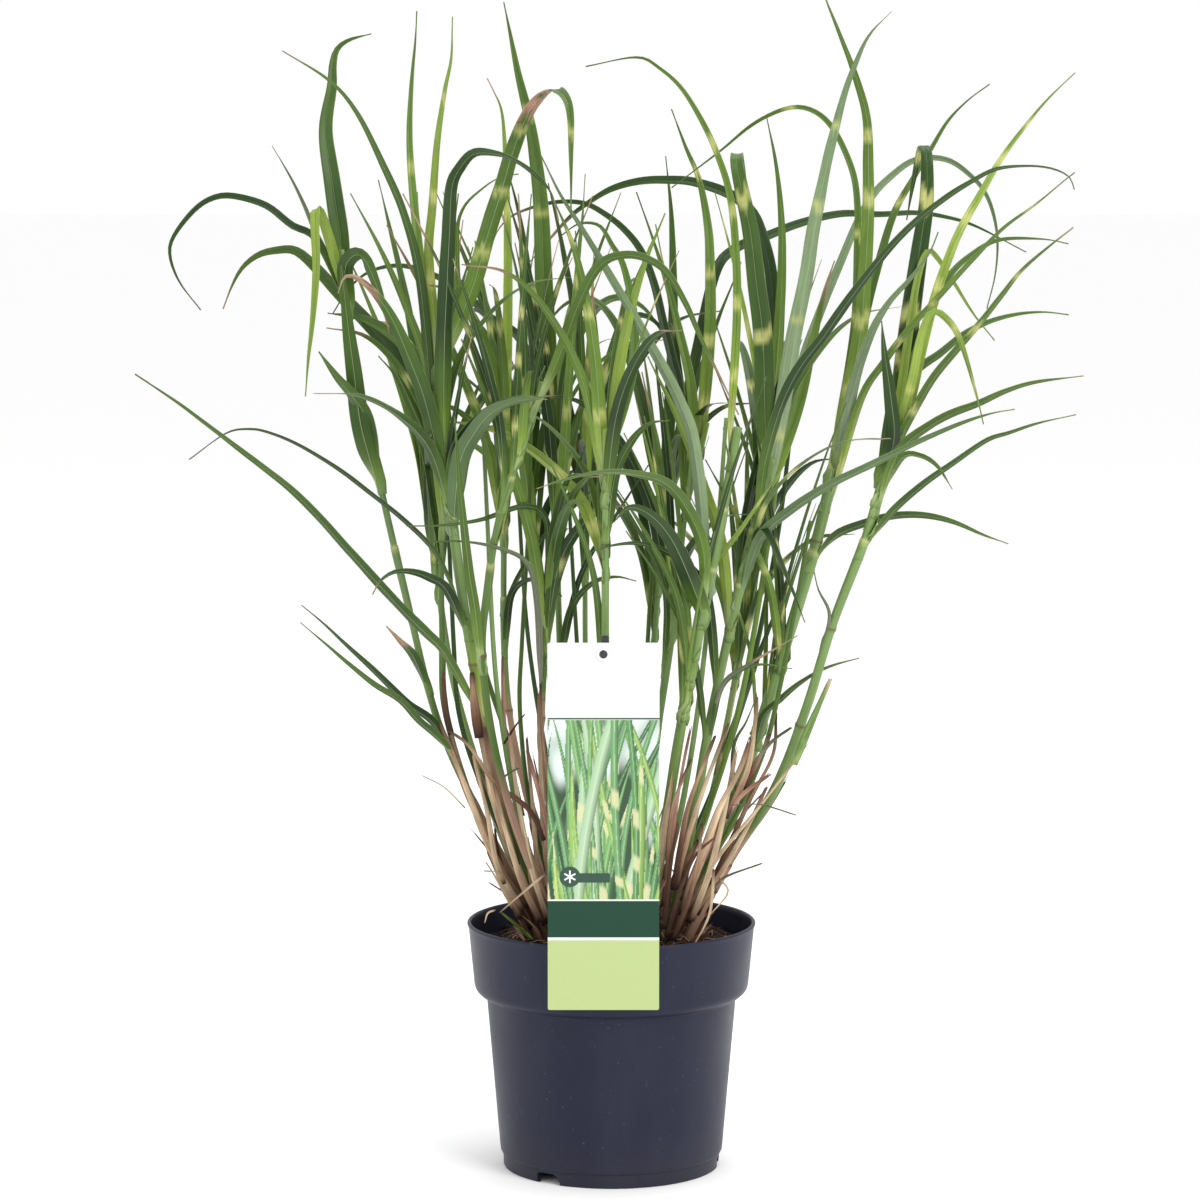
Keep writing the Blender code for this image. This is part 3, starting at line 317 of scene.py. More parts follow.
        (214, 92, 663), (227.7, 95, 660.5), (240, 98, 652), (250, 100, 641.5), (256.6, 102, 627),
        (260, 103, 608), (259, 104, 585.5), (253.6, 105, 561.5))),
    (17, 12, 45, 0, dict(tone="dark", slim=0.65), ((36.5, 111, 444), (58, 124, 530), (71, 135, 584.5),
        (84.5, 145, 601), (105.6, 160, 609), (130, 175, 618), (159, 190, 624.5), (187.7, 205, 624),
        (213.3, 215, 625), (235, 225, 622), (257, 233, 615.5), (294, 240, 597))),
    (18, 11, -40, 0, dict(tone="dark", slim=0.65), ((-56.5, 113, 444), (-58, 148, 529), (-84.6, 175, 554),
        (-106, 195, 572.5), (-130, 210, 584), (-149.5, 220, 588), (-170, 230, 583.5), (-185.5, 237, 571),
        (-197, 242, 553.5))),
)

# Slighter blades, which have no solid of their own: radius clasped at the base, width, turn, twist, look,
# points along the spine
SLIGHT_TABLE = (
    (2, 6.5, -40, 0, dict(tone="dark"), ((-102, -16, 272), (-115, -22, 296), (-132, -28, 310),
        (-145, -34, 324), (-158, -40, 338), (-171, -44, 351), (-185, -48, 365), (-199, -50, 377))),
    (2, 6, -40, 0, dict(tone="deep"), ((-103.5, -18, 277), (-112, -30, 288), (-125, -38, 301),
        (-136, -42, 314), (-152, -48, 325), (-167, -52, 338), (-180, -56, 350), (-199, -60, 367))),
    (2.4, 12, -50, 0, dict(tone="deep", base=0.8), ((-153, -22, 474), (-158, -34, 496), (-165, -44, 510),
        (-174, -52, 522), (-186, -60, 540))),
    (3, 12, -40, 20, dict(tone="deep", dry=0.22), ((-108.5, -52, 470), (-118, -66, 508), (-128.5, -74, 538),
        (-138, -80, 561), (-148, -86, 577), (-159, -90, 587), (-167, -94, 588), (-171, -97, 578))),
    (2.4, 11, 0, 0, dict(tone="deep", dry=0.16, base=0.8), ((-171.8, -30, 576), (-170, -42, 592),
        (-163, -52, 601), (-156, -62, 598), (-150, -70, 586), (-144, -76, 570), (-140, -80, 552))),
    (2.6, 13, 60, 0, dict(tone="deep", base=0.85, fold=28), ((-156, -24, 462), (-161, -36, 492),
        (-165, -42, 528), (-169, -44, 562), (-173.5, -42, 606))),
    (2, 7, 20, 0, dict(tone="lime"), ((-172, -30, 580), (-180, -40, 610), (-185.5, -48, 628),
        (-188, -54, 626), (-187, -60, 594), (-189, -64, 563), (-192, -66, 537), (-194, -68, 512))),
    (1.6, 4.5, 20, 40, dict(tone="grey"), ((-172, -30, 585), (-190, -20, 614), (-198, -14, 632),
        (-207, -8, 650), (-219, -4, 670))),
    (3, 10, 10, 0, dict(tone="dark", dry=0.1), ((106, 62, 452), (108, 72, 560), (100, 78, 612),
        (86, 84, 634), (58, 90, 646), (36, 94, 648), (18, 98, 647), (0, 102, 642), (-15, 104, 633),
        (-29, 106, 622), (-46, 108, 603), (-59, 110, 588))),
    (1.6, 7, 0, 0, dict(tone="green"), ((-4, -90, 474), (12, -70, 524), (14, -50, 560), (8, -30, 592),
        (0, -20, 607), (-8, -10, 619), (-21, 0, 620), (-33, 6, 612))),
    (2.2, 8.5, -40, 0, dict(tone="deep", dry=0.35), ((-123.5, -14, 330), (-129, -24, 342), (-137, -36, 353),
        (-145, -44, 363))),
    (3, 6.5, 50, 0, dict(tone="green"), ((174, -48, 456), (184, -66, 473), (195, -78, 475), (205, -86, 469),
        (214, -92, 455))),
    (2, 5.5, 30, 0, dict(tone="deep"), ((74, 48, 270), (83, 34, 290), (89, 26, 310), (97, 18, 336),
        (112, 10, 376), (120, 6, 390))),
    (2.2, 4.5, 30, 0, dict(tone="fresh"), ((-69, 26, 476), (-96, 12, 560), (-100, 6, 610), (-96, 0, 630),
        (-83, -4, 643), (-71.5, -6, 650), (-60, -8, 652))),
    (3, 7, 30, 0, dict(tone="lime", bands=0.3), ((177, -50, 470), (190, -68, 520), (195.5, -76, 552),
        (202.5, -80, 566), (214, -84, 557), (221, -88, 541), (230, -92, 509), (233, -94, 496))),
    (3, 6, 20, 0, dict(tone="lime"), ((178, -50, 476), (190, -30, 545), (197, -16, 585), (204, -6, 602),
        (211, 0, 598), (223, 6, 581), (236, 10, 561), (250, 14, 544))),
    (2.6, 9, 60, 10, dict(tone="silver"), ((148, -4, 476), (156, -40, 520), (164, -60, 550),
        (174, -70, 570), (188, -78, 587), (199, -84, 603), (204, -88, 616))),
    (2.6, 6, 45, 0, dict(tone="green"), ((178, -50, 474), (196, -30, 540), (215, -16, 583), (235, -6, 602),
        (253, 0, 610), (280, 6, 610), (297, 10, 607))),
    (2.4, 7, 60, 0, dict(tone="green"), ((-82, -54, 350), (-87, -66, 375), (-91, -72, 404), (-96, -78, 456),
        (-99, -82, 500))),
    (3, 13, 50, 10, dict(tone="dark", base=0.8), ((60, -47, 380), (48, -70, 400), (37, -90, 424),
        (24, -108, 440), (11, -122, 446), (1, -134, 438))),
    (1.8, 5.5, 0, 0, dict(tone="dark"), ((-72, 20, 352), (-66, 10, 376), (-56, -2, 388), (-44, -14, 388),
        (-32, -24, 380))),
    (1.8, 6, 0, 0, dict(tone="deep"), ((-34, 37, 340), (-26, 20, 368), (-12, 4, 386), (3, -6, 391),
        (16, -14, 389))),
    (2.4, 6.5, 30, 0, dict(tone="dark"), ((70, -22, 330), (62, -40, 380), (50, -52, 402), (34, -62, 413),
        (16, -72, 419), (-2, -80, 418), (-15, -86, 414))),
    (1.8, 4.5, 30, 0, dict(tone="grey"), ((-46, -21, 330), (-48, -40, 376), (-54, -52, 404),
        (-72, -62, 415), (-95, -70, 420), (-116, -76, 420))),
    (1.8, 4.5, 20, 0, dict(tone="deep"), ((-39, -24, 398), (-42, -34, 430), (-56, -42, 440),
        (-84, -50, 432), (-110, -56, 429), (-131, -60, 429))),
    (2.4, 6, 45, 0, dict(tone="deep"), ((92, 11, 275), (99, -4, 298), (110, -14, 311), (120, -20, 321),
        (132, -26, 330), (144, -30, 336), (160, -34, 341))),
    (3, 11.5, 60, 0, dict(tone="dark", base=0.8, fold=30), ((177, -50, 468), (179, -66, 486),
        (176, -72, 514), (172, -74, 540), (170, -75, 560))),
    (2.8, 9, 60, 0, dict(tone="fresh", dry=0.14), ((100, -35, 452), (120, -10, 500), (130, 0, 540),
        (138, 6, 575), (145, 10, 596))),
    (2.6, 4.5, 40, 0, dict(tone="deep"), ((63, -18, 292), (70, -30, 318), (80, -38, 331), (95, -44, 338),
        (116, -50, 336))),
    (2.6, 3.6, 40, 0, dict(tone="grey", dry=0.3), ((65, -18, 300), (72, -34, 324), (88, -44, 338),
        (105, -50, 349), (119, -54, 358))),
    (1.8, 3.4, 30, 0, dict(tone="deep"), ((72, 12, 246), (80, -4, 278), (88, -10, 296), (94, -14, 312))),
    (2, 2.6, 30, 0, dict(tone="grey"), ((143, -34, 362), (140, -40, 372), (133, -44, 386),
        (130, -46, 398))),
    (2.2, 8.5, 60, 0, dict(tone="deep"), ((-121, 36, 436), (-126, 44, 500), (-134, 50, 560),
        (-145, 56, 610), (-154, 60, 648))),
    (2.2, 8, 10, 0, dict(tone="dark"), ((-120.5, 36, 430), (-116, 60, 500), (-108, 90, 545),
        (-96, 120, 560), (-80, 150, 548), (-64, 178, 512))),
    (1.8, 7.5, 40, 0, dict(tone="fresh"), ((-110, -26, 434), (-112, -34, 480), (-109, -40, 520),
        (-101, -46, 562), (-88, -52, 606))),
    (1.8, 7.5, 60, 0, dict(tone="deep"), ((-109.5, -25, 420), (-118, -14, 460), (-127, -6, 490),
        (-140, 2, 520), (-152, 10, 534))),
    (2, 8.5, 60, 10, dict(tone="fresh", bands=0.2), ((-39, -24, 398), (-31, -30, 460), (-27, -30, 520),
        (-23, -28, 580), (-19, -26, 622), (-17, -24, 652))),
    (2, 8, 60, 0, dict(tone="dark"), ((-17, 67, 450), (-19, 70, 510), (-25, 72, 560), (-33, 74, 606),
        (-42, 76, 646))),
    (2, 9, 20, 0, dict(tone="dark"), ((-17, 68, 452), (-6, 84, 506), (4, 100, 540), (15, 116, 556),
        (30, 130, 552), (44, 140, 530))),
    (2.4, 9, 50, 0, dict(tone="fresh", bands=0.25), ((-4, -91, 476), (-9, -100, 520), (-14, -104, 562),
        (-23, -108, 604), (-36, -110, 636))),
    (2.4, 8.5, -50, 0, dict(tone="lime"), ((-4, -90, 470), (3, -96, 520), (10, -100, 560), (20, -104, 596),
        (33, -106, 628))),
    (2, 9, 60, 0, dict(tone="deep"), ((36.5, 111, 440), (40, 116, 500), (42, 120, 560), (41, 122, 620),
        (37, 124, 664))),
    (2, 9, 0, 20, dict(tone="deep"), ((36, 110, 436), (20, 130, 500), (6, 146, 544), (-12, 160, 566),
        (-32, 172, 562), (-50, 182, 540))),
    (2, 9, 40, 0, dict(tone="dark"), ((-56, 112, 440), (-52, 118, 500), (-54, 122, 560), (-60, 124, 612),
        (-70, 126, 656))),
    (2, 10, -20, 0, dict(tone="deep"), ((-56, 112, 438), (-38, 134, 500), (-20, 156, 546), (0, 176, 566),
        (22, 194, 560), (42, 208, 532))),
    (2.2, 9, 50, 0, dict(tone="fresh"), ((105, 62, 436), (108, 60, 500), (112, 58, 560), (113, 56, 612),
        (109, 54, 656), (102, 52, 690))),
    (2.2, 8.5, 0, 0, dict(tone="deep"), ((104, 61, 430), (112, 96, 500), (116, 126, 532), (120, 156, 536),
        (124, 184, 508), (126, 204, 470))),
    (2.4, 9, 20, 0, dict(tone="dark"), ((-70, 25, 440), (-76, 56, 506), (-84, 84, 540), (-92, 112, 550),
        (-100, 140, 536), (-106, 164, 500))),
    (2.2, 4.6, 0, 0, dict(tone="deep", show=0.5), ((37, 20, 340), (34, 0, 385), (9, -20, 437),
        (-12, -34, 470))),
    (2.6, 5, 0, 0, dict(tone="green"), ((-3, -56, 338), (-11, -70, 395), (-25, -78, 440), (-43, -84, 480))),
    (2.2, 4.4, 0, 0, dict(tone="fresh"), ((43, 27, 392), (35, 6, 420), (25, -10, 448), (8, -24, 486))),
    (2.2, 5.6, 0, 0, dict(tone="lime", bands=0.2), ((37, 20, 345), (56, -20, 386), (82, -50, 425),
        (110, -70, 470))),
    (2.6, 4.8, 0, 0, dict(tone="dark", dry=0.05), ((90, -32, 420), (98, -50, 426), (112, -64, 396),
        (123, -70, 368))),
    (2, 4, 0, 0, dict(tone="deep", show=0.5), ((-70, 22, 378), (-46, 0, 414), (-15, -16, 446),
        (8, -26, 470))),
    (3, 5.6, 0, 0, dict(tone="green"), ((53, -44, 340), (41, -58, 385), (21, -70, 426), (2, -78, 456))),
    (2.8, 4.6, 0, 0, dict(tone="deep"), ((64, -18, 296), (52, -36, 345), (31, -52, 392), (9, -62, 426))),
    (3.6, 6, 0, 0, dict(tone="fresh", bands=0.2), ((114, 6, 344), (102, -14, 388), (82, -30, 430),
        (60, -40, 470))),
    (2, 4.2, 0, 0, dict(tone="dark"), ((-34.5, 38, 346), (-19, 20, 392), (4, 4, 432), (24, -6, 464))),
)

# Thinner culms between the others: radius, tone, line
THIN_TABLE = (
    (2, "deep", ((-44, 0, 145), (-56, -4, 185), (-86, -8, 256), (-99.5, -12, 302), (-102.7, -16, 349),
        (-106, -20, 430), (-110, -24, 500))),
    (2.1, "wax", ((-32, -24, 145), (-42, -26, 180), (-60, -28, 235), (-71.5, -30, 300), (-76.5, -32, 350),
        (-80, -34, 430), (-83, -36, 500))),
    (1.9, "green", ((-30, -4, 145), (-38, -4, 180), (-53.5, -2, 240), (-60, 0, 302), (-58.5, 2, 349),
        (-54, 4, 430), (-52, 6, 500))),
    (2.2, "green", ((-26, 28, 145), (-34, 30, 180), (-62, 34, 260), (-88, 38, 340), (-100, 44, 430),
        (-108, 48, 500))),
    (2, "deep", ((-20, 34, 145), (-26, 36, 180), (-44, 44, 270), (-56, 50, 350), (-62, 58, 440))),
    (2.2, "wax", ((22, -14, 145), (31, -16, 180), (44.5, -18, 235), (54, -20, 290), (61, -22, 349),
        (69, -26, 430), (74, -28, 500))),
    (2.3, "fresh", ((30, 2, 145), (40, 0, 180), (63, -2, 236), (81, -4, 295), (92, -6, 349),
        (104, -10, 430), (112, -14, 500))),
    (2.1, "green", ((38, -18, 145), (48, -20, 180), (76, -22, 226), (98, -24, 276), (109, -26, 320),
        (120, -30, 380), (128, -34, 430))),
    (2.2, "deep", ((30, 28, 145), (40, 30, 180), (70, 34, 250), (92, 38, 320), (110, 44, 410),
        (120, 50, 490))),
    (2, "green", ((4, 20, 145), (10, 22, 180), (20, 28, 260), (24, 34, 340), (30, 42, 440))),
    (2, "deep", ((-8, 4, 145), (-12, 6, 180), (-18, 12, 270), (-23, 18, 350), (-28, 24, 440))),
    (1.8, "wax", ((12, 0, 145), (16, 0, 180), (28, -4, 270), (40, -6, 350), (48, -8, 430), (54, -10, 490))),
)

# Old dry sheaths, stubs and straws at the foot of the clump: width, tone, depth at both ends, and (x, z)
# along them
OLD_TABLE = (
    (6, "tan", (-20, -24), ((-55, 175), (-70, 196), (-83.5, 225), (-96, 258), (-111.8, 298))),
    (3.8, "brown", (-42, -50), ((-43.6, 223), (-53, 243), (-73, 259), (-79, 266), (-92, 286),
        (-106.6, 297))),
    (5.2, "pink", (-36, -40), ((-37, 180), (-41.6, 230), (-54.6, 282.5))),
    (4.6, "tan", (-30, -34), ((-38, 178), (-43.6, 223), (-46.8, 292), (-47, 320))),
    (4.6, "pink", (-24, -26), ((-58, 236), (-67, 275), (-70, 300), (-70.5, 340))),
    (1, "straw", (-20, -26), ((-95.6, 241), (-109, 255), (-123, 263))),
    (1.6, "grey", (-40, -46), ((-74, 257), (-68, 266), (-60, 271))),
    (1.8, "umber", (-40, -46), ((-69.6, 286), (-62, 298), (-56, 306))),
    (3.6, "tan", (-28, -36), ((-70, 192), (-74, 200), (-82.6, 202))),
    (1.7, "straw", (-50, -56), ((-42, 203), (-56, 192), (-71.5, 179))),
    (3.2, "fresh", (-46, -60), ((-51, 158), (-60, 168), (-71, 179))),
    (1.4, "straw", (-50, -52), ((-75, 179), (-80, 177), (-82, 171))),
    (4.4, "straw", (-26, -32), ((-58, 175), (-74, 203), (-81, 240), (-90, 278))),
    (5, "tan", (-44, -50), ((-46, 170), (-58, 196), (-70, 236), (-76, 262))),
    (4.6, "straw", (-40, -44), ((-42, 172), (-52, 205), (-60, 246), (-66, 293))),
    (5, "umber", (-26, -28), ((-104, 290), (-107.5, 305), (-109, 331))),
    (7.4, "tan", (-34, -42), ((-62, 205), (-76, 250), (-83, 284), (-86.5, 300))),
    (7.6, "brown", (-42, -44), ((-85.5, 290), (-88.5, 312), (-90, 333))),
    (4, "tan", (-30, -34), ((-40, 170), (-48, 206), (-51, 242), (-55, 289))),
    (4, "brown", (-30, -34), ((-36, 170), (-40, 240), (-45.5, 300), (-46, 326))),
    (3.4, "pink", (-10, -18), ((-52, 160), (-70, 198), (-94, 246), (-106, 284))),
    (6, "wax", (-38, -44), ((118, 272), (122, 282.5), (127, 296), (141, 329))),
    (3, "straw", (-22, -32), ((48, 172), (70, 210), (96, 243), (125.5, 282.5))),
    (5.6, "pink", (-26, -36), ((46, 180), (64, 218), (83, 249), (102, 265))),
    (4.4, "brown", (-30, -36), ((86, 254), (95, 274), (102.7, 291))),
    (3.4, "grey", (-30, -44), ((90, 268), (102.7, 286), (115.7, 297))),
    (2.6, "grey", (-36, -56), ((78, 245), (96, 247), (118, 242))),
    (2.6, "grey", (-30, -48), ((66, 188), (74, 198.5), (97, 209))),
    (1.5, "straw", (-40, -46), ((69.6, 198), (75.4, 189), (61.8, 173))),
    (2.1, "straw", (-44, -56), ((66, 204.5), (65, 187), (62, 173), (52, 155))),
    (7, "tan", (-34, -40), ((46, 172), (50.7, 190), (60.5, 216), (70, 243), (83, 269), (89.7, 289))),
    (4.4, "brown", (-40, -44), ((40, 190), (44, 215), (50.7, 249), (67, 292))),
    (4.4, "tan", (-36, -38), ((42, 190), (47, 215), (57, 249), (75.4, 299))),
    (3.8, "brown", (-44, -46), ((34, 180), (36, 205), (39, 243), (50.7, 276))),
    (5.4, "straw", (-30, -34), ((52, 168), (64, 202), (73, 240), (81, 282))),
    (3.6, "pink", (-40, -44), ((33, 170), (38, 216), (44, 260), (51, 297))),
    (4.8, "tan", (-24, -26), ((50, 166), (70, 196), (90, 232), (101, 256))),
    (4, "brown", (-20, -22), ((56, 170), (74, 210), (90, 246), (105, 276), (107, 302))),
    (5, "tan", (-32, -34), ((74, 236), (88, 268), (93, 300), (94, 318))),
    (3.6, "umber", (-46, -50), ((36, 160), (44, 190), (54, 214), (66, 226))),
    (4.2, "umber", (-44, -46), ((34, 165), (37, 200), (43, 236))),
    (4, "brown", (-48, -52), ((40, 158), (50, 186), (56, 212), (58, 236))),
)


def metres(value):
    """Millimetres to metres, in one number or in rows of them; words stay."""
    if isinstance(value, tuple):
        return tuple(metres(item) for item in value)
    return value if isinstance(value, str) else value / 1000


def numbered(stem, table):
    """The rows of a table by name, counted from 01."""
    return {f"{stem}_{number:02d}": row for number, row in enumerate(table, 1)}


CULMS = numbered("culm", metres(CULM_TABLE))


# ---------------------------------------------------------------- materials

def add(tree, kind, inputs=None, **settings):
    made = tree.nodes.new(kind)
    for key, value in settings.items():
        setattr(made, key, value)
    for key, value in (inputs or {}).items():
        if isinstance(value, bpy.types.NodeSocket):
            tree.links.new(value, made.inputs[key])
        else:
            made.inputs[key].default_value = value
    return made


def maths(tree, operation, first, second=0.0):
    return add(tree, "ShaderNodeMath", {0: first, 1: second}, operation=operation).outputs[0]


def mixed(tree, amount, first, second, blend="MIX"):
    made = add(tree, "ShaderNodeMix", {0: amount}, data_type="RGBA", blend_type=blend)
    for slot, value in ((6, first), (7, second)):
        if isinstance(value, bpy.types.NodeSocket):
            tree.links.new(value, made.inputs[slot])
        else:
            made.inputs[slot].default_value = (*value, 1.0)
    return made.outputs[2]


def between(tree, value, low, high, to_low=0.0, to_high=1.0):
    inputs = {"Value": value, "From Min": low, "From Max": high, "To Min": to_low, "To Max": to_high}
    return add(tree, "ShaderNodeMapRange", inputs, clamp=True).outputs["Result"]


def noisy(tree, vector, scale, detail=3.0, roughness=0.55):
    inputs = {"Vector": vector, "Scale": scale, "Detail": detail, "Roughness": roughness}
    return add(tree, "ShaderNodeTexNoise", inputs).outputs["Fac"]


def shaded(tree, colour, shade):
    """A colour made darker or lighter by a grey factor."""
    grey = add(tree, "ShaderNodeCombineXYZ", {0: shade, 1: shade, 2: shade}).outputs[0]
    return mixed(tree, 1.0, colour, grey, "MULTIPLY")


def stretched(tree, across, along, by_across, by_along):
    """A place on a strand's surface, scaled across and along it."""
    return add(tree, "ShaderNodeCombineXYZ", {
        "X": maths(tree, "MULTIPLY", across, by_across), "Y": maths(tree, "MULTIPLY", along, by_along),
    }).outputs[0]


def object_place(tree):
    return add(tree, "ShaderNodeTexCoord").outputs["Object"]


def coat_colour(tree):
    return add(tree, "ShaderNodeAttribute", attribute_name="coat").outputs["Color"]


def blank(name, roughness, gloss=0.5):
    made = bpy.data.materials.new(name)
    made.use_nodes = True
    shader = made.node_tree.nodes["Principled BSDF"]
    shader.inputs["Roughness"].default_value = roughness
    shader.inputs["Specular IOR Level"].default_value = gloss
    return made, made.node_tree, shader


def dress(tree, shader, colour, rough=None, height=None, relief=0.0, strength=1.0):
    """Gives a shader its colour and, where they vary over the surface, its roughness and its relief."""
    tree.links.new(colour, shader.inputs["Base Color"])
    if rough is not None:
        tree.links.new(rough, shader.inputs["Roughness"])
    if height is not None:
        made = add(tree, "ShaderNodeBump", {"Height": height, "Distance": relief, "Strength": strength})
        tree.links.new(made.outputs[0], shader.inputs["Normal"])


def strand_finish(name, streaks, streak_depth, roughness, relief, rib=0.0, blotch=0.10, gloss=0.5):
    """A painted strand: colour from its coat, fibres along it, and a pale midrib if it has one."""
    made, tree, shader = blank(name, roughness, gloss)
    coat = coat_colour(tree)
    parts = add(tree, "ShaderNodeSeparateXYZ", {
        0: add(tree, "ShaderNodeUVMap", uv_map="Strands").outputs["UV"]}).outputs
    across, along = parts["X"], parts["Y"]
    fibres = noisy(tree, stretched(tree, across, along, streaks, 7.0), 1.0, 3.0, 0.65)
    colour = shaded(tree, coat, between(tree, fibres, 0.28, 0.72, 1.0 - streak_depth, 1.0 + streak_depth))
    patches = noisy(tree, stretched(tree, across, along, 2.0, 60.0), 1.0, 4.0)
    colour = shaded(tree, colour, between(tree, patches, 0.35, 0.75, 1.0 + blotch, 1.0 - blotch))
    height = fibres
    if rib:
        off_middle = maths(tree, "ABSOLUTE", maths(tree, "SUBTRACT", across, 0.5))
        is_rib = between(tree, off_middle, 0.022, 0.058, rib, 0.0)
        colour = mixed(tree, is_rib, colour, mixed(tree, 0.6, coat, (0.52, 0.58, 0.36)))
        colour = mixed(tree, between(tree, off_middle, 0.465, 0.495, 0.0, 0.35), colour, (0.33, 0.40, 0.17))
        veins = maths(tree, "SINE", maths(tree, "MULTIPLY", across, 75.0))
        height = maths(tree, "ADD", fibres, maths(tree, "MULTIPLY", veins, 0.30))
    rough = between(tree, fibres, 0.3, 0.7, roughness - 0.07, roughness + 0.10)
    dress(tree, shader, colour, rough, height, relief, 0.8)
    return made


def plastic_finish():
    """Dark slate polypropylene: fine moulded grain, faint vertical flow, scuffs and a little dust."""
    made, tree, shader = blank("pot_plastic", 0.42, 0.20)
    place = object_place(tree)
    tall = add(tree, "ShaderNodeMapping", {"Vector": place, "Scale": (1.0, 1.0, 0.18)}).outputs[0]
    flow = noisy(tree, tall, 45.0, 3.0)
    cloud = noisy(tree, place, 14.0, 4.0)
    grain = noisy(tree, place, 1400.0, 2.0)
    colour = mixed(tree, between(tree, cloud, 0.35, 0.7), (0.010, 0.0115, 0.029), (0.014, 0.016, 0.036))
    colour = mixed(tree, between(tree, flow, 0.45, 0.8, 0.0, 0.35), colour, (0.026, 0.029, 0.052))
    scratch_place = add(tree, "ShaderNodeMapping", {
        "Vector": place, "Rotation": (0.0, 0.5, 0.2), "Scale": (1.0, 1.0, 9.0),
    }).outputs[0]
    scratches = between(tree, noisy(tree, scratch_place, 130.0, 5.0, 0.8), 0.67, 0.78, 0.0, 0.30)
    colour = mixed(tree, scratches, colour, (0.085, 0.087, 0.115))
    specks = between(tree, noisy(tree, place, 420.0, 2.0), 0.70, 0.78, 0.0, 0.55)
    colour = mixed(tree, specks, colour, (0.11, 0.10, 0.10))
    height = add(tree, "ShaderNodeSeparateXYZ", {0: place}).outputs["Z"]
    low_dust = maths(tree, "MULTIPLY", between(tree, height, 0.0, 0.035, 0.45, 0.0), cloud)
    colour = mixed(tree, low_dust, colour, (0.060, 0.053, 0.052))
    relief = maths(tree, "ADD", grain, maths(tree, "MULTIPLY", flow, 2.0))
    dress(tree, shader, colour, between(tree, cloud, 0.3, 0.7, 0.36, 0.50), relief, 0.00010, 0.6)
    return made


def compost_finish():
    """Peat: nearly black, with paler fibres and crumbs."""
    made, tree, shader = blank("compost", 0.95, 0.25)
    place = object_place(tree)
    coarse = noisy(tree, place, 160.0, 5.0, 0.7)
    fine = noisy(tree, place, 900.0, 4.0, 0.7)
    colour = mixed(tree, between(tree, coarse, 0.35, 0.7), (0.008, 0.0045, 0.003), (0.042, 0.022, 0.014))
    colour = mixed(tree, between(tree, fine, 0.62, 0.75, 0.0, 0.7), colour, (0.17, 0.10, 0.060))
    dress(tree, shader, colour, None, maths(tree, "ADD", coarse, maths(tree, "MULTIPLY", fine, 0.5)), 0.0016)
    return made


def black_plastic_finish():
    made, tree, shader = blank("stake_plastic", 0.35)
    grain = noisy(tree, object_place(tree), 700.0, 3.0)
    colour = mixed(tree, between(tree, grain, 0.4, 0.75), (0.012, 0.012, 0.016), (0.030, 0.030, 0.036))
    dress(tree, shader, colour, None, grain, 0.00008, 0.6)
    return made


def printed(tree, shader, place, colour, shades, clouds, gloss, relief):
    """Print on a card: a fine grain in the ink and slightly uneven gloss."""
    grain = noisy(tree, place, 2600.0, 2.0)
    cloud = noisy(tree, place, clouds, 3.0)
    colour = shaded(tree, colour, between(tree, grain, 0.3, 0.7, *shades))
    dress(tree, shader, colour, between(tree, cloud, 0.3, 0.7, *gloss), cloud, relief, 0.3)


def picture_finish():
    made, tree, shader = blank("card_print", 0.30)
    printed(tree, shader, object_place(tree), coat_colour(tree), (0.965, 1.02), 30.0, (0.26, 0.38), 0.0003)
    return made


def card_finish():
    """White card with printed bands across it: a yellow-green foot, a dark green band and a green rule."""
    made, tree, shader = blank("card", 0.34, 0.22)
    place = object_place(tree)
    parts = add(tree, "ShaderNodeSeparateXYZ", {0: place}).outputs
    low, tall = CARD_BACK[2], 0.240
    ramp = add(tree, "ShaderNodeValToRGB", {0: between(tree, parts["Z"], low, low + tall)})
    ramp.color_ramp.interpolation = "CONSTANT"
    stops = ramp.color_ramp.elements
    for number, (edge, colour) in enumerate((
        (low, (0.410, 0.500, 0.215)), (FOOT_BAND_TOP, PAPER), (DARK_BAND[0], (0.008, 0.046, 0.026)),
        (DARK_BAND[1], PAPER), (PICTURE[0], PAPER), (PICTURE[1], (0.016, 0.060, 0.036)),
        (RULE_TOP, (0.655, 0.655, 0.685)),
    )):
        stop = stops[number] if number < 2 else stops.new(1.0)
        stop.position = (edge - low) / tall
        stop.color = (*colour, 1.0)
    is_front = maths(tree, "LESS_THAN", parts["Y"], CARD_BACK[1] - CARD_SIZE[2] / 2)
    colour = mixed(tree, is_front, (0.86, 0.87, 0.86), ramp.outputs["Color"])
    printed(tree, shader, place, colour, (0.97, 1.01), 26.0, (0.24, 0.36), 0.0004)
    return made


def mottled_finish(name, detail, contrast, one, two):
    """Two near tones in fine clouds."""
    made, tree, shader = blank(name, 0.30)
    cloud = noisy(tree, object_place(tree), 900.0, detail)
    dress(tree, shader, mixed(tree, between(tree, cloud, *contrast) if contrast else cloud, one, two))
    return made


FINISHES = {
    "leaf": strand_finish("grass_blade", 24.0, 0.30, 0.36, 0.00008, rib=0.85, gloss=0.27),
    "culm": strand_finish("culm", 18.0, 0.22, 0.45, 0.00010, blotch=0.08, gloss=0.35),
    "dry": strand_finish("dry_sheath", 16.0, 0.55, 0.70, 0.00040, blotch=0.35, gloss=0.2),
    "pot": plastic_finish(),
    "soil": compost_finish(),
    "stake": black_plastic_finish(),
    "picture": picture_finish(),
    "card": card_finish(),
    "washer": mottled_finish("washer_plastic", 2.0, (0.3, 0.7), (0.62, 0.64, 0.68), (0.78, 0.80, 0.82)),
    "badge": mottled_finish("badge_green", 3.0, None, (0.010, 0.048, 0.028), (0.015, 0.060, 0.034)),
    "mark": mottled_finish("badge_white", 3.0, None, (0.80, 0.84, 0.80), (0.70, 0.76, 0.71)),
}


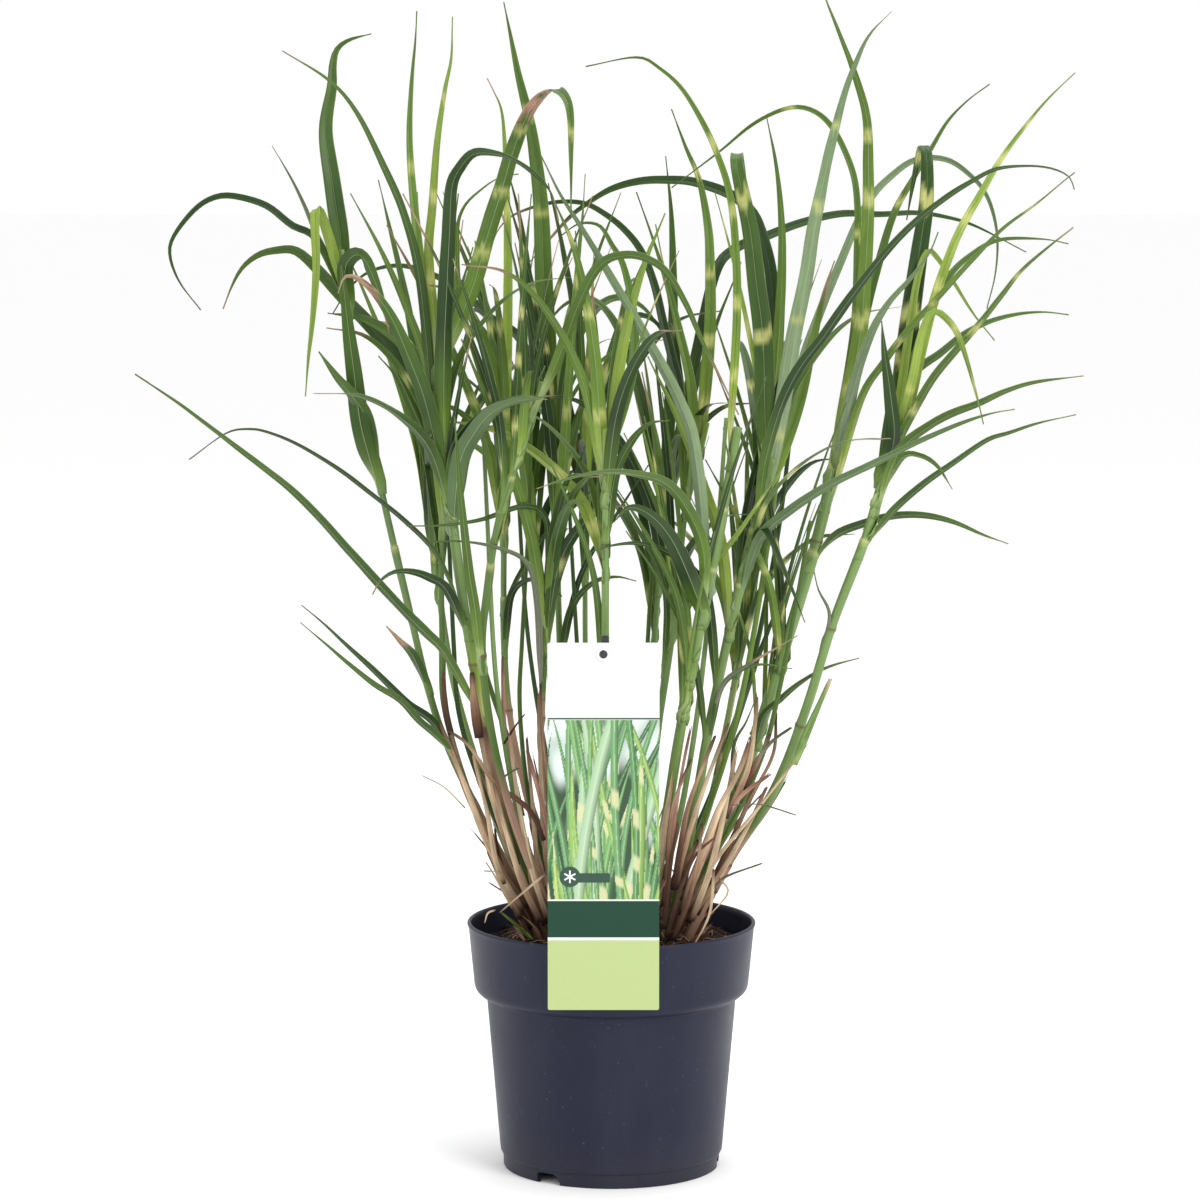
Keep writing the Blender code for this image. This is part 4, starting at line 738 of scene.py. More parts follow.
def meshed(name, bm):
    """A mesh made from a bmesh, which is freed."""
    mesh = bpy.data.meshes.new(name)
    bm.to_mesh(mesh)
    bm.free()
    return mesh


def solid(name, mesh, finish):
    """An object in the scene with a mesh and one finish."""
    mesh.materials.append(FINISHES[finish])
    made = bpy.data.objects.new(name, mesh)
    bpy.context.collection.objects.link(made)
    return made


def absorb(whole, bm):
    """Adds a bmesh to another one, by way of a mesh, and frees it."""
    piece = meshed("piece", bm)
    whole.from_mesh(piece)
    bpy.data.meshes.remove(piece)


def paint(mesh, colours):
    """Keeps a colour for each point, as a flat list of red, green, blue and alpha."""
    mesh.attributes.new("coat", "FLOAT_COLOR", "POINT").data.foreach_set("color", colours)


def polar(radius, angle):
    return radius * math.cos(angle), radius * math.sin(angle)


def noise_at(*place):
    return noise.noise(Vector(place))


# ---------------------------------------------------------------- swept strands

class Path:
    """A smooth curve through points, read by distance along it."""

    def __init__(self, points):
        ends = [Vector(point) for point in points]
        ends = [2 * ends[0] - ends[1]] + ends + [2 * ends[-1] - ends[-2]]
        self.fine = []
        for a, b, c, d in zip(ends, ends[1:], ends[2:], ends[3:]):
            for step in range(12):
                t = step / 12
                self.fine.append(0.5 * (2 * b + (c - a) * t + (2 * a - 5 * b + 4 * c - d) * t**2
                                        + (3 * b - a - 3 * c + d) * t**3))
        self.fine.append(ends[-2])
        self.travelled = [0.0]
        for here, ahead in zip(self.fine, self.fine[1:]):
            self.travelled.append(self.travelled[-1] + (ahead - here).length)
        self.length = self.travelled[-1]

    def at(self, distance):
        distance = min(max(distance, 0.0), self.length)
        low, high = 0, len(self.travelled) - 1
        while high - low > 1:
            middle = (low + high) // 2
            if self.travelled[middle] <= distance:
                low = middle
            else:
                high = middle
        span = max(self.travelled[high] - self.travelled[low], 1e-9)
        return self.fine[low].lerp(self.fine[high], (distance - self.travelled[low]) / span)

    def heading(self, distance):
        ahead = self.at(distance + 0.002) - self.at(distance - 0.002)
        return ahead.normalized()


def ease(value):
    """A smooth step from 0 to 1, held beyond both."""
    value = min(max(value, 0.0), 1.0)
    return value * value * (3.0 - 2.0 * value)


def named(colour):
    return Vector(COLOURS[colour])


def colour_at(stops, position):
    """The colour at a position between (position, name) stops."""
    before = stops[0]
    for stop in stops:
        if stop[0] >= position:
            span = max(stop[0] - before[0], 1e-9)
            share = min(max((position - before[0]) / span, 0.0), 1.0)
            return named(before[1]).lerp(named(stop[1]), share)
        before = stop
    return named(stops[-1][1])


def from_rows(name, rows, coats, lengths, closed, finish):
    """A mesh over rows of points, with a colour at each point and UVs of (across, metres along)."""
    count = len(rows[0])
    columns = count if closed else count - 1
    faces, uvs = [], []
    for i in range(len(rows) - 1):
        for j in range(columns):
            k = (j + 1) % count
            faces.append((i * count + j, i * count + k, (i + 1) * count + k, (i + 1) * count + j))
            left, right = j / columns, (j + 1) / columns
            uvs += [left, lengths[i], right, lengths[i], right, lengths[i + 1], left, lengths[i + 1]]
    if closed:
        last = (len(rows) - 1) * count
        faces.append(tuple(reversed(range(count))))
        faces.append(tuple(last + j for j in range(count)))
        uvs += [0.5, lengths[0]] * count + [0.5, lengths[-1]] * count
    mesh = bpy.data.meshes.new(name)
    mesh.from_pydata([point for row in rows for point in row], [], faces)
    paint(mesh, [channel for row in coats for coat in row for channel in (*coat, 1.0)])
    mesh.uv_layers.new(name="Strands").data.foreach_set("uv", uvs)
    mesh.polygons.foreach_set("use_smooth", [len(face) == 4 for face in faces])
    mesh.update()
    return solid(name, mesh, finish)


def place(piece, slot, *nodes):
    """Makes a piece part of the object and hides the solids that it stands for; slot is not used."""
    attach(piece, "root")
    if nodes:
        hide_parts(*nodes)
    return piece


def joined(name, pieces):
    """Several small meshes of one finish as one piece."""
    bpy.ops.object.select_all(action="DESELECT")
    for piece in pieces:
        piece.select_set(True)
    bpy.context.view_layer.objects.active = pieces[0]
    bpy.ops.object.join()
    pieces[0].name = name
    pieces[0].data.name = name
    return pieces[0]


# The colours of a strand from its base to its tip
TONES = {
    "dark": ((0.0, "wax"), (0.09, "fresh"), (0.14, "green"), (0.3, "dark"), (1.0, "deep")),
    "deep": ((0.0, "wax"), (0.09, "fresh"), (0.14, "green"), (0.3, "deep"), (1.0, "green")),
    "green": ((0.0, "wax"), (0.09, "pale"), (0.13, "fresh"), (0.3, "green"), (1.0, "green")),
    "fresh": ((0.0, "wax"), (0.09, "pale"), (0.14, "lime"), (0.3, "fresh"), (1.0, "green")),
    "lime": ((0.0, "wax"), (0.09, "pale"), (0.14, "lime"), (0.5, "lime"), (1.0, "fresh")),
    "wax": ((0.0, "pale"), (0.2, "wax"), (0.8, "wax"), (1.0, "straw")),
    "blue": ((0.0, "silver"), (0.10, "blue"), (0.6, "blue"), (1.0, "green")),
    "silver": ((0.0, "silver"), (0.30, "silver"), (1.0, "blue")),
    "tan": ((0.0, "umber"), (0.25, "tan"), (0.6, "straw"), (1.0, "brown")),
    "straw": ((0.0, "brown"), (0.2, "straw"), (0.7, "straw"), (1.0, "tan")),
    "brown": ((0.0, "umber"), (0.3, "brown"), (0.75, "tan"), (1.0, "umber")),
    "pink": ((0.0, "brown"), (0.3, "pink"), (0.8, "pink"), (1.0, "brown")),
    "umber": ((0.0, "umber"), (1.0, "brown")),
    "grey": ((0.0, "grey"), (1.0, "deep")),
}


def blade_span(t, width, base):
    """Width at a share t of the blade's length."""
    opening = base + (1.0 - base) * ease(t / 0.24)
    return max(0.0007, width * opening * (1.0 - t**2.4))


def torn(t, ragged):
    """How far into its torn end a strip is at a share t of its length."""
    return ease((t - 1.0 + ragged) / ragged)


def blade_tint(t, share, distance, length, tone, offset, bands, band_places, scorch, dry):
    """A blade's colour at one point: its tone, then cream patches, dead patches and the browned tip."""
    shade = colour_at(TONES[tone], t)
    shade = shade * (1.0 + 0.24 * noise_at(distance * 11.0, share * 0.6, offset))
    for where, half in band_places:
        wander = 1.3 * half * noise_at(share * 2.6, where * 90.0, offset)
        near = ease(1.5 - abs(distance - where + wander) / half)
        edge = 1.0 - 0.55 * abs(share) ** 3
        shade = shade.lerp(named("yellow"), min(0.85, near * edge * (0.4 + bands)))
    for where, half in scorch:
        uneven = noise_at(share * 2.2, distance * 55.0, offset + 2.0)
        near = ease(1.3 - abs(distance - where * length) / half + 1.1 * uneven)
        shade = shade.lerp(named("pink"), near).lerp(named("brown"), ease(1.0 - abs(near - 0.45) * 3.5) * 0.8)
    if dry:
        browned = ease((t - (1.0 - dry) + 0.05 * noise_at(distance * 30.0, share * 1.3, offset)) * 14.0 + 0.5)
        spots = ease(noise_at(distance * 90.0, share * 2.3, offset + 4.0) * 2.0)
        shade = shade.lerp(named("tan"), browned).lerp(named("brown"), browned * spots)
    return shade


def blade(name, points, width, turn=0.0, twist=0.0, tone="green", dry=0.0, bands=0.0, fold=22.0, clasp=0.0,
          curl=0.0, base=0.55, ragged=0.0, finish="leaf", face=None, tip=0.0, show=0.0,
          columns=BLADE_COLUMNS, slim=1.0, scorch=()):
    """A leaf blade along a spine: it clasps its culm at the base, opens to a shallow V and tapers to its tip.

    turn and twist are in degrees about the spine; dry is the share of the tip that has browned; bands is how
    strongly cream patches cross it; scorch lists dead patches as (share, half length in metres); curl is the
    radius of a lasting roll, ragged tears the far end, and show is how far the blade turns its face to the
    label's side."""
    dice = random.Random(name)
    width *= slim
    path = Path(points)
    heading = face or path.fine[-1] - path.fine[0]
    heading = Vector((heading.x, heading.y, 0.0))
    if heading.length < 1e-4:
        heading = Vector((1.0, 0.0, 0.0))
    level = heading.normalized().cross(UP)
    steps = max(10, round(path.length / BLADE_STEP))
    offset = dice.uniform(0.0, 9.0)
    band_places = []
    travelled = dice.uniform(0.01, 0.05)
    while bands and travelled < path.length * 0.9:
        band_places.append((travelled, dice.uniform(0.0022, 0.0052) * (0.7 + bands)))
        travelled += dice.uniform(0.022, 0.070) / (0.35 + bands)
    previous = level
    rows, coats, lengths = [], [], []
    for step in range(steps + 1):
        t = step / steps
        distance = path.length * t
        middle = path.at(distance)
        tangent = path.heading(distance)
        across = (level - level.dot(tangent) * tangent).normalized()
        if show:
            flat = tangent.cross(Vector((0.0, 1.0, 0.0)))
            if flat.dot(previous) < 0.0:
                flat.negate()
            across = across.lerp(flat, show * ease(flat.length * 1.5) * ease(distance / 0.035)).normalized()
            previous = across.copy()
        angle = math.radians(turn * (1.0 - show) * ease(t / 0.22) + twist * t)
        across.rotate(Matrix.Rotation(angle, 3, tangent))
        upper = across.cross(tangent)
        span = max(blade_span(t, width, base), width * tip)
        bend = 1.0 / curl if curl else 0.0
        if clasp:
            hug = ease(1.0 - distance / CLASP_LENGTH)
            span = span * (1.0 - hug) + hug * clasp * 4.6
            bend = hug / (clasp + 0.0004)
        slope = 0.0 if curl else math.tan(math.radians(fold)) * (1.0 - 0.75 * t)
        row = []
        for share in columns:
            s = share * span / 2
            if ragged and share:
                s *= 1.0 - torn(t, ragged) * (0.5 + 0.5 * noise_at(share * 2.7, offset, 3.1)) * 0.6
            side, rise = s, 0.0
            if bend > 1.0:
                side, rise = math.sin(bend * s) / bend, (1.0 - math.cos(bend * s)) / bend
            rise += abs(s) * slope * (1.0 - min(1.0, bend * 0.003))
            wave = noise_at(distance * 38.0 + offset, share * 0.9, offset)
            rise += wave * share * share * width * 0.10 * min(1.0, 4.0 * t)
            if share == 0.0:
                rise -= MIDRIB_DEPTH * min(1.0, span / 0.006)
            point = middle + across * side + upper * rise
            if ragged:
                point += tangent * (ragged * path.length * 0.5 * torn(t, ragged)
                                    * noise_at(share * 4.0, offset, 7.7))
            row.append(point)
        rows.append(row)
        coats.append([
            blade_tint(t, share, distance, path.length, tone, offset, bands, band_places, scorch, dry)
            for share in columns])
        lengths.append(distance + offset)
    made = from_rows(name, rows, coats, lengths, False, finish)
    shell = made.modifiers.new("thickness", "SOLIDIFY")
    shell.thickness = BLADE_THICKNESS
    shell.offset = 0.0
    return made


def stem(name, points, radius, coats, collars=(), nodes=(), taper=0.72, sides=CULM_SIDES, finish="culm",
         step=0.004):
    """A round stem. Collars are heights where a sheath ends, nodes are heights of its swollen joints."""
    dice = random.Random(name)
    path = Path(points)
    offset = dice.uniform(0.0, 9.0)
    seam = dice.uniform(0.0, math.tau)
    count = max(2, round(path.length / step))
    places = [path.length * k / count for k in range(count + 1)]
    marks = []
    for height in (*collars, *nodes):
        best = min(range(401), key=lambda k: abs(path.at(path.length * k / 400).z - height))
        marks.append((path.length * best / 400, height in collars))
    for mark, _ in marks:
        places += [mark - 0.0012, mark - 0.0002, mark + 0.0002, mark + 0.0016]
    side = path.heading(0.0).orthogonal().normalized()
    rows, tints, lengths = [], [], []
    for distance in sorted(here for here in places if 0.0 <= here <= path.length):
        middle = path.at(distance)
        tangent = path.heading(distance)
        side = (side - side.dot(tangent) * tangent).normalized()
        other = tangent.cross(side)
        share = distance / path.length
        size = radius * (1.0 - (1.0 - taper) * share)
        size *= 1.0 + 0.05 * noise_at(distance * 40.0, offset, 0.0)
        ring_tone = colour_at(coats, share)
        collar_near, node_near = 0.0, 0.0
        for mark, is_collar in marks:
            if is_collar:
                size += COLLAR_SWELL * ease(1.0 - (mark - distance) / 0.060) if distance <= mark else 0.0
                collar_near = max(collar_near, ease(1.0 - abs(distance - mark + 0.0008) / 0.0022))
            else:
                size += JOINT_SWELL * ease(1.0 - abs(distance - mark) / 0.0030)
                node_near = max(node_near, ease(1.0 - abs(distance - mark) / 0.0018))
        row, tint = [], []
        for j in range(sides):
            angle = math.tau * j / sides
            past_seam = (angle - seam - distance * 1.4) % math.tau
            lip = SEAM_LIP * ease(1.0 - past_seam / 1.3) if past_seam < 1.3 else 0.0
            row.append(middle + (side * math.cos(angle) + other * math.sin(angle)) * (size + lip))
            shade = ring_tone * (1.0 + 0.15 * noise_at(distance * 16.0, j * 0.5, offset))
            if lip and past_seam < 0.35:
                shade = shade * 0.78
            shade = shade.lerp(named("cream"), 0.45 * collar_near)
            tint.append(shade.lerp(named("brown"), 0.75 * node_near))
        rows.append(row)
        tints.append(tint)
        lengths.append(distance + offset)
    return from_rows(name, rows, tints, lengths, True, finish)


# ---------------------------------------------------------------- pot and compost

def turned(name, profile, finish, sides=144):
    """A closed outline of (radius, height) points, turned about the vertical."""
    bm = bmesh.new()
    points = [bm.verts.new((radius, 0.0, height)) for radius, height in profile]
    for here, ahead in zip(points, points[1:] + points[:1]):
        bm.edges.new((here, ahead))
    made = solid(name, meshed(name, bm), finish)
    screw = made.modifiers.new("turn", "SCREW")
    screw.steps = screw.render_steps = sides
    screw.use_merge_vertices = True
    screw.merge_threshold = 0.00001
    return made


def pot_wall():
    """Outer face of the pot's side from under the lip to the floor, as (radius, height)."""
    shoulder = POT_HEIGHT - COLLAR_DEPTH
    outline = [(COLLAR_RADIUS, POT_HEIGHT - 1.7 * LIP)]
    for radius, height, steps in (
        (COLLAR_FOOT_RADIUS, shoulder,
         ((0.1, 4.2), (-0.1, 2.8), (-0.6, 0.9), (-1.4, -0.6), (-3.6, -2.8))),
        (BODY_RADIUS, shoulder, ((1.0, -4.4), (0.3, -5.0), (0.0, -6.0))),
        (BASE_RADIUS, FOOT_HEIGHT, ((0.0, 3.4), (-0.2, 2.0), (-0.7, 1.0))),
    ):
        outline += [(radius + out / 1000, height + up / 1000) for out, up in steps]
    return outline


def inner_wall(clearance):
    inset = WALL + clearance
    return [(radius - inset, height + inset) for radius, height in pot_wall()[1:-1]]


def pot_cutters():
    """The notches of the foot and the drain holes, as one mesh that is cut away."""
    cutters = []
    for degrees in NOTCH_ANGLES:
        bm = bmesh.new()
        bmesh.ops.create_cube(bm, size=1.0)
        bmesh.ops.scale(bm, vec=NOTCH_SIZE, verts=bm.verts)
        for corner in bm.verts:
            if corner.co.z > 0 and corner.co.y > 0:
                corner.co.y -= 0.004
        upright = [edge for edge in bm.edges if abs(edge.verts[0].co.x - edge.verts[1].co.x) > 0.01]
        bmesh.ops.bevel(bm, geom=upright, offset=0.0012, segments=3, affect="EDGES")
        around = Matrix.Rotation(math.radians(degrees), 4, "Z")
        cutters.append((bm, around @ Matrix.Translation(
            (FOOT_RADIUS - FOOT_WIDTH / 2, 0.0, NOTCH_SIZE[2] / 2 - 0.0005))))
    for number in range(6):
        bm = bmesh.new()
        bmesh.ops.create_cone(
            bm, cap_ends=True, segments=32, radius1=DRAIN_RADIUS, radius2=DRAIN_RADIUS, depth=0.006)
        spot = polar(DRAIN_CIRCLE, math.radians(60 * number + 24))
        cutters.append((bm, Matrix.Translation((*spot, FOOT_HEIGHT + FLOOR / 2))))
    whole = bmesh.new()
    for bm, move in cutters:
        bmesh.ops.transform(bm, matrix=move, verts=bm.verts)
        absorb(whole, bm)
    cuts = bpy.data.objects.new("pot_cuts", meshed("pot_cuts", whole))
    bpy.context.collection.objects.link(cuts)
    return cuts


def build_pot():
    lip_middle = RIM_RADIUS - LIP / 2
    lip = [(lip_middle + x, POT_HEIGHT - LIP / 2 + z) for x, z in (
        polar(LIP / 2, math.radians(angle)) for angle in (165, 140, 115, 90, 65, 40, 15, -10, -40))]
    foot_inner = FOOT_RADIUS - FOOT_WIDTH
    foot = [(FOOT_RADIUS, FOOT_HEIGHT), (FOOT_RADIUS - 0.0003, 0.0008), (FOOT_RADIUS - 0.0006, 0.0002),
            (FOOT_RADIUS - 0.0010, 0.0), (foot_inner + 0.0005, 0.0), (foot_inner + 0.0001, 0.0004),
            (foot_inner, FOOT_HEIGHT)]
    floor = [(CENTRE_HOLE_RADIUS, FOOT_HEIGHT), (CENTRE_HOLE_RADIUS, FOOT_HEIGHT + FLOOR),
             (BASE_RADIUS - WALL - 0.0030, FOOT_HEIGHT + FLOOR)]
    mouth = [(lip_middle - LIP / 2, POT_HEIGHT - 1.7 * LIP)]
    pot = turned("nursery_pot", lip + pot_wall() + foot + floor + inner_wall(0.0)[::-1] + mouth, "pot")
    cuts = pot_cutters()
    step = pot.modifiers.new("notches_and_drains", "BOOLEAN")
    step.solver = "EXACT"
    step.object = cuts
    bpy.context.view_layer.update()
    cut_mesh = bpy.data.meshes.new_from_object(pot.evaluated_get(bpy.context.evaluated_depsgraph_get()))
    pot.modifiers.clear()
    pot.data = cut_mesh
    cut_mesh.shade_smooth()
    cut_mesh.set_sharp_from_angle(angle=math.radians(38))
    bpy.data.objects.remove(cuts)
    place(pot, "pot", "pot")


def soil_height(x, y):
    """Lumpy compost: a low mound at the crown, a hollow along the wall."""
    height = SOIL_TOP + 0.0012 - 0.0042 * ease((math.hypot(x, y) - 0.052) / 0.038)
    for size, scale, layer in ((0.0026, 55.0, 1.0), (0.0016, 170.0, 5.0), (0.0008, 480.0, 9.0)):
        height += size * noise_at(x * scale, y * scale, layer)
    return height


def build_soil():
    """The compost: its lumpy top in rings, then its side along the pot's inner wall, then its bottom."""
    sectors, rings = 168, 64
    bottom = FOOT_HEIGHT + FLOOR + 0.0004
    levels = [(0.0006 + (SOIL_RADIUS - 0.0006) * (ring / (rings - 1)) ** 0.85, None) for ring in range(rings)]
    levels += [(radius, height) for radius, height in inner_wall(0.0004) if height < SOIL_TOP - 0.008]
    levels += [(BASE_RADIUS - WALL - 0.0040, bottom), (0.0006, bottom)]
    verts = []
    for radius, height in levels:
        for sector in range(sectors):
            x, y = polar(radius, math.tau * sector / sectors)
            verts.append((x, y, soil_height(x, y) if height is None else height))
    faces = []
    for start in range(0, (len(levels) - 1) * sectors, sectors):
        for sector in range(sectors):
            ahead = (sector + 1) % sectors
            faces.append((start + sector, start + sectors + sector, start + sectors + ahead, start + ahead))
    faces.append(tuple(range(sectors)))
    faces.append(tuple(reversed(range((len(levels) - 1) * sectors, len(levels) * sectors))))
    mesh = bpy.data.meshes.new("compost")
    mesh.from_pydata(verts, [], faces)
    mesh.shade_smooth()
    mesh.update()
    place(solid("compost", mesh, "soil"), "soil", "soil")


def build_crumbs():
    """Loose crumbs of bark and peat on the compost."""
    dice = random.Random(11)
    whole = bmesh.new()
    for number in range(CRUMBS):
        x, y = polar(LITTER_REACH * math.sqrt(dice.random()), dice.uniform(0.0, math.tau))
        size = dice.uniform(0.0006, 0.0023)
        bm = bmesh.new()
        bmesh.ops.create_icosphere(bm, subdivisions=1, radius=size)
        stretch = Vector((dice.uniform(0.7, 1.9), dice.uniform(0.6, 1.2), dice.uniform(0.5, 0.9)))
        spin = Matrix.Rotation(dice.uniform(0.0, math.tau), 3, "Z")
        spin @= Matrix.Rotation(dice.uniform(-0.7, 0.7), 3, "X")
        for corner in bm.verts:
            bulge = 1.0 + 0.35 * noise.noise(corner.co * 700.0 + Vector((number, 0.0, 0.0)))
            corner.co = spin @ (corner.co * stretch) * bulge
            corner.co += Vector((x, y, soil_height(x, y) + size * 0.25))
        absorb(whole, bm)
    place(solid("compost_crumbs", meshed("compost_crumbs", whole), "soil"), "soil")


def build_fibres():
    """Roots, straws and bark fibres that lie on the compost."""
    dice = random.Random(23)
    fibres = []
    for number in range(FIBRES):
        x, y = polar(0.086 * math.sqrt(dice.random()), dice.uniform(0.0, math.tau))
        way = dice.uniform(0.0, math.tau)
        long = dice.uniform(0.005, 0.022)
        lift = dice.uniform(0.0003, 0.0030)
        points = []
        for share in (-0.5, -0.17, 0.17, 0.5):
            px = x + math.cos(way) * long * share
            py = y + math.sin(way) * long * share
            way += dice.uniform(-0.7, 0.7)
            out = math.hypot(px, py)
            if out > LITTER_REACH:
                px, py = px * LITTER_REACH / out, py * LITTER_REACH / out
            arch = lift * (1.0 - (2.0 * share) ** 2)
            points.append((px, py, soil_height(px, py) + arch + 0.0002))
        tone = dice.choice(("tan", "brown", "brown", "umber", "umber", "pink", "straw"))
        size = dice.uniform(0.00012, 0.00038)
        fibres.append(stem(f"fibre_{number}", points, size, ((0.0, tone), (1.0, tone)), taper=0.5, sides=5,
                           finish="dry", step=0.002))
    place(joined("compost_fibres", fibres), "soil")


# ---------------------------------------------------------------- label

def outline_piece(name, outlines, depth, finish, at, bevel=0.0):
    """A flat piece that stands facing -Y: outlines are closed loops of (x, z)."""
    curve = bpy.data.curves.new(name, "CURVE")
    curve.dimensions = "2D"
    curve.fill_mode = "BOTH"
    curve.extrude = depth / 2 - bevel
    curve.bevel_depth = bevel
    curve.bevel_resolution = 1
    curve.offset = -bevel
    for outline in outlines:
        spline = curve.splines.new("POLY")
        spline.points.add(len(outline) - 1)
        for point, (x, y) in zip(spline.points, outline):
            point.co = (x, y, 0.0, 1.0)
        spline.use_cyclic_u = True
    flat = bpy.data.objects.new(name, curve)
    bpy.context.collection.objects.link(flat)
    bpy.context.view_layer.update()
    mesh = bpy.data.meshes.new_from_object(flat)
    bpy.data.objects.remove(flat)
    mesh.transform(Matrix.Translation(at) @ Matrix.Rotation(math.radians(90), 4, "X"))
    bm = bmesh.new()
    bm.from_mesh(mesh)
    bmesh.ops.remove_doubles(bm, verts=bm.verts, dist=0.000001)
    bm.to_mesh(mesh)
    bm.free()
    mesh.materials.clear()
    return solid(name, mesh, finish)


def rounded(left, low, right, high, corner, steps=6):
    """A rectangle with round corners."""
    points = []
    for quarter, (x, y) in enumerate(((right - corner, high - corner), (left + corner, high - corner),
                                      (left + corner, low + corner), (right - corner, low + corner))):
        for step in range(steps + 1):
            out, up = polar(corner, math.radians(90 * quarter + 90 * step / steps))
            points.append((x + out, y + up))
    return points


def ring(x, y, radius, steps=40):
    return [(x + out, y + up) for out, up in (polar(radius, math.tau * k / steps) for k in range(steps))]


def printed_blades(left, right, low, high):
    """The grass blades of the printed picture, from the rearmost to the nearest."""
    greens = ((0.045, 0.130, 0.050), (0.085, 0.240, 0.080), (0.150, 0.340, 0.110), (0.230, 0.400, 0.090),
              (0.360, 0.500, 0.120), (0.120, 0.290, 0.110), (0.340, 0.490, 0.310))
    dice = random.Random(5)
    blades = []
    for number in range(PRINTED_BLADES):
        depth = number / PRINTED_BLADES
        root = dice.uniform(left - 0.008, right + 0.008)
        blades.append((
            root, dice.gauss((root - CARD_BACK[0]) * 3.0, 0.13), dice.gauss(0.0, 1.2),
            dice.uniform(0.0012, 0.0034) * (0.7 + 0.5 * depth), dice.uniform(low + 0.03, high + 0.12),
            Vector(dice.choice(greens[1:] if depth > 0.35 else greens[:4])),
            [(dice.uniform(low, low + 0.085), dice.uniform(0.0025, 0.0055))
             for _ in range(dice.choice((0, 0, 1, 1, 1, 2)))]))
    return blades


def build_picture():
    """The printed picture: upright grass blades with cream patches and dark gaps low down."""
    left, right = CARD_BACK[0] - CARD_SIZE[0] / 2, CARD_BACK[0] + CARD_SIZE[0] / 2
    low, high = PICTURE
    across, tall = 150, 244
    blades = printed_blades(left, right, low, high)
    verts, colours, faces = [], [], []
    for row in range(tall + 1):
        z = low + (high - low) * row / tall
        for column in range(across + 1):
            x = left + (right - left) * column / across
            light = ease((z - low) / (high - low) * 1.6 - 0.75 + noise_at(x * 60.0, z * 34.0, 2.0) * 1.2)
            colour = Vector((0.020, 0.060, 0.024)).lerp(Vector((0.62, 0.72, 0.66)), light)
            for root, lean, bend, half, top, shade, patches in blades:
                rise = z - low
                half *= min(1.0, max(0.0, (top - z) / 0.05))
                off = (x - root - lean * rise - bend * rise * rise) / half if half > 1e-5 else 9.0
                if abs(off) < 1.0:
                    colour = shade * (1.05 - 0.25 * off - 0.45 * off * off)
                    if abs(off) < 0.12:
                        colour = colour.lerp(Vector((0.60, 0.72, 0.45)), 0.4)
                    for where, reach in patches:
                        near = ease(1.7 - abs(z - where + 0.0012 * off) / reach)
                        colour = colour.lerp(Vector((0.58, 0.58, 0.32)), 0.85 * near)
            verts.append((x, CARD_BACK[1] - CARD_SIZE[2] - 0.00006, z))
            colours += [*colour, 1.0]
    for row in range(tall):
        for column in range(across):
            corner = row * (across + 1) + column
            faces.append((corner, corner + 1, corner + across + 2, corner + across + 1))
    mesh = bpy.data.meshes.new("label_picture")
    mesh.from_pydata(verts, [], faces)
    paint(mesh, colours)
    mesh.update()
    made = solid("label_picture", mesh, "picture")
    shell = made.modifiers.new("ink", "SOLIDIFY")
    shell.thickness = 0.00005
    shell.offset = -1.0
    place(made, "card")


def build_label():
    wide, high, thick = CARD_SIZE
    hole = (PEG_MIDDLE[0] - CARD_BACK[0], PEG_MIDDLE[1] - CARD_BACK[2])
    outlines = [rounded(-wide / 2, 0.0, wide / 2, high, CARD_CORNER), ring(*hole, PEG_RADIUS + 0.0004)]
    card = outline_piece("printed_card", outlines, thick, "card",
                         (CARD_BACK[0], CARD_BACK[1] - thick / 2, CARD_BACK[2]))
    place(card, "card", "label_card")
    build_picture()
    front = CARD_BACK[1] - thick
    badge = outline_piece("label_badge", [ring(*BADGE_MIDDLE, BADGE_RADIUS)], 0.00010, "badge",
                          (0.0, front - 0.00014, 0.0))
    bar = outline_piece("label_badge_bar", [rounded(-0.0250, 0.2052, -0.0012, 0.2112, 0.0008)], 0.00008,
                        "badge", (0.0, front - 0.00013, 0.0))
    place(joined("label_badge", [badge, bar]), "card")
    arms = []
    for turn in range(3):
        way = polar(1.0, math.radians(60 * turn + 30))
        outline = [(BADGE_MIDDLE[0] + way[0] * a - way[1] * b, BADGE_MIDDLE[1] + way[1] * a + way[0] * b)
                   for a, b in ((0.0040, 0.0005), (-0.0040, 0.0005), (-0.0040, -0.0005), (0.0040, -0.0005))]
        arms.append(outline_piece(f"mark_{turn}", [outline], 0.00006 + 0.00002 * turn, "mark",
                                  (0.0, front - 0.00022, 0.0)))
    place(joined("label_badge_mark", arms), "card")
    washer = outline_piece("peg_washer", [ring(*PEG_MIDDLE, 0.0044), ring(*PEG_MIDDLE, 0.0026)], 0.0005,
                           "washer", (0.0, front - 0.0003, 0.0), bevel=0.00015)
    place(washer, "stake")
    build_stake(front)


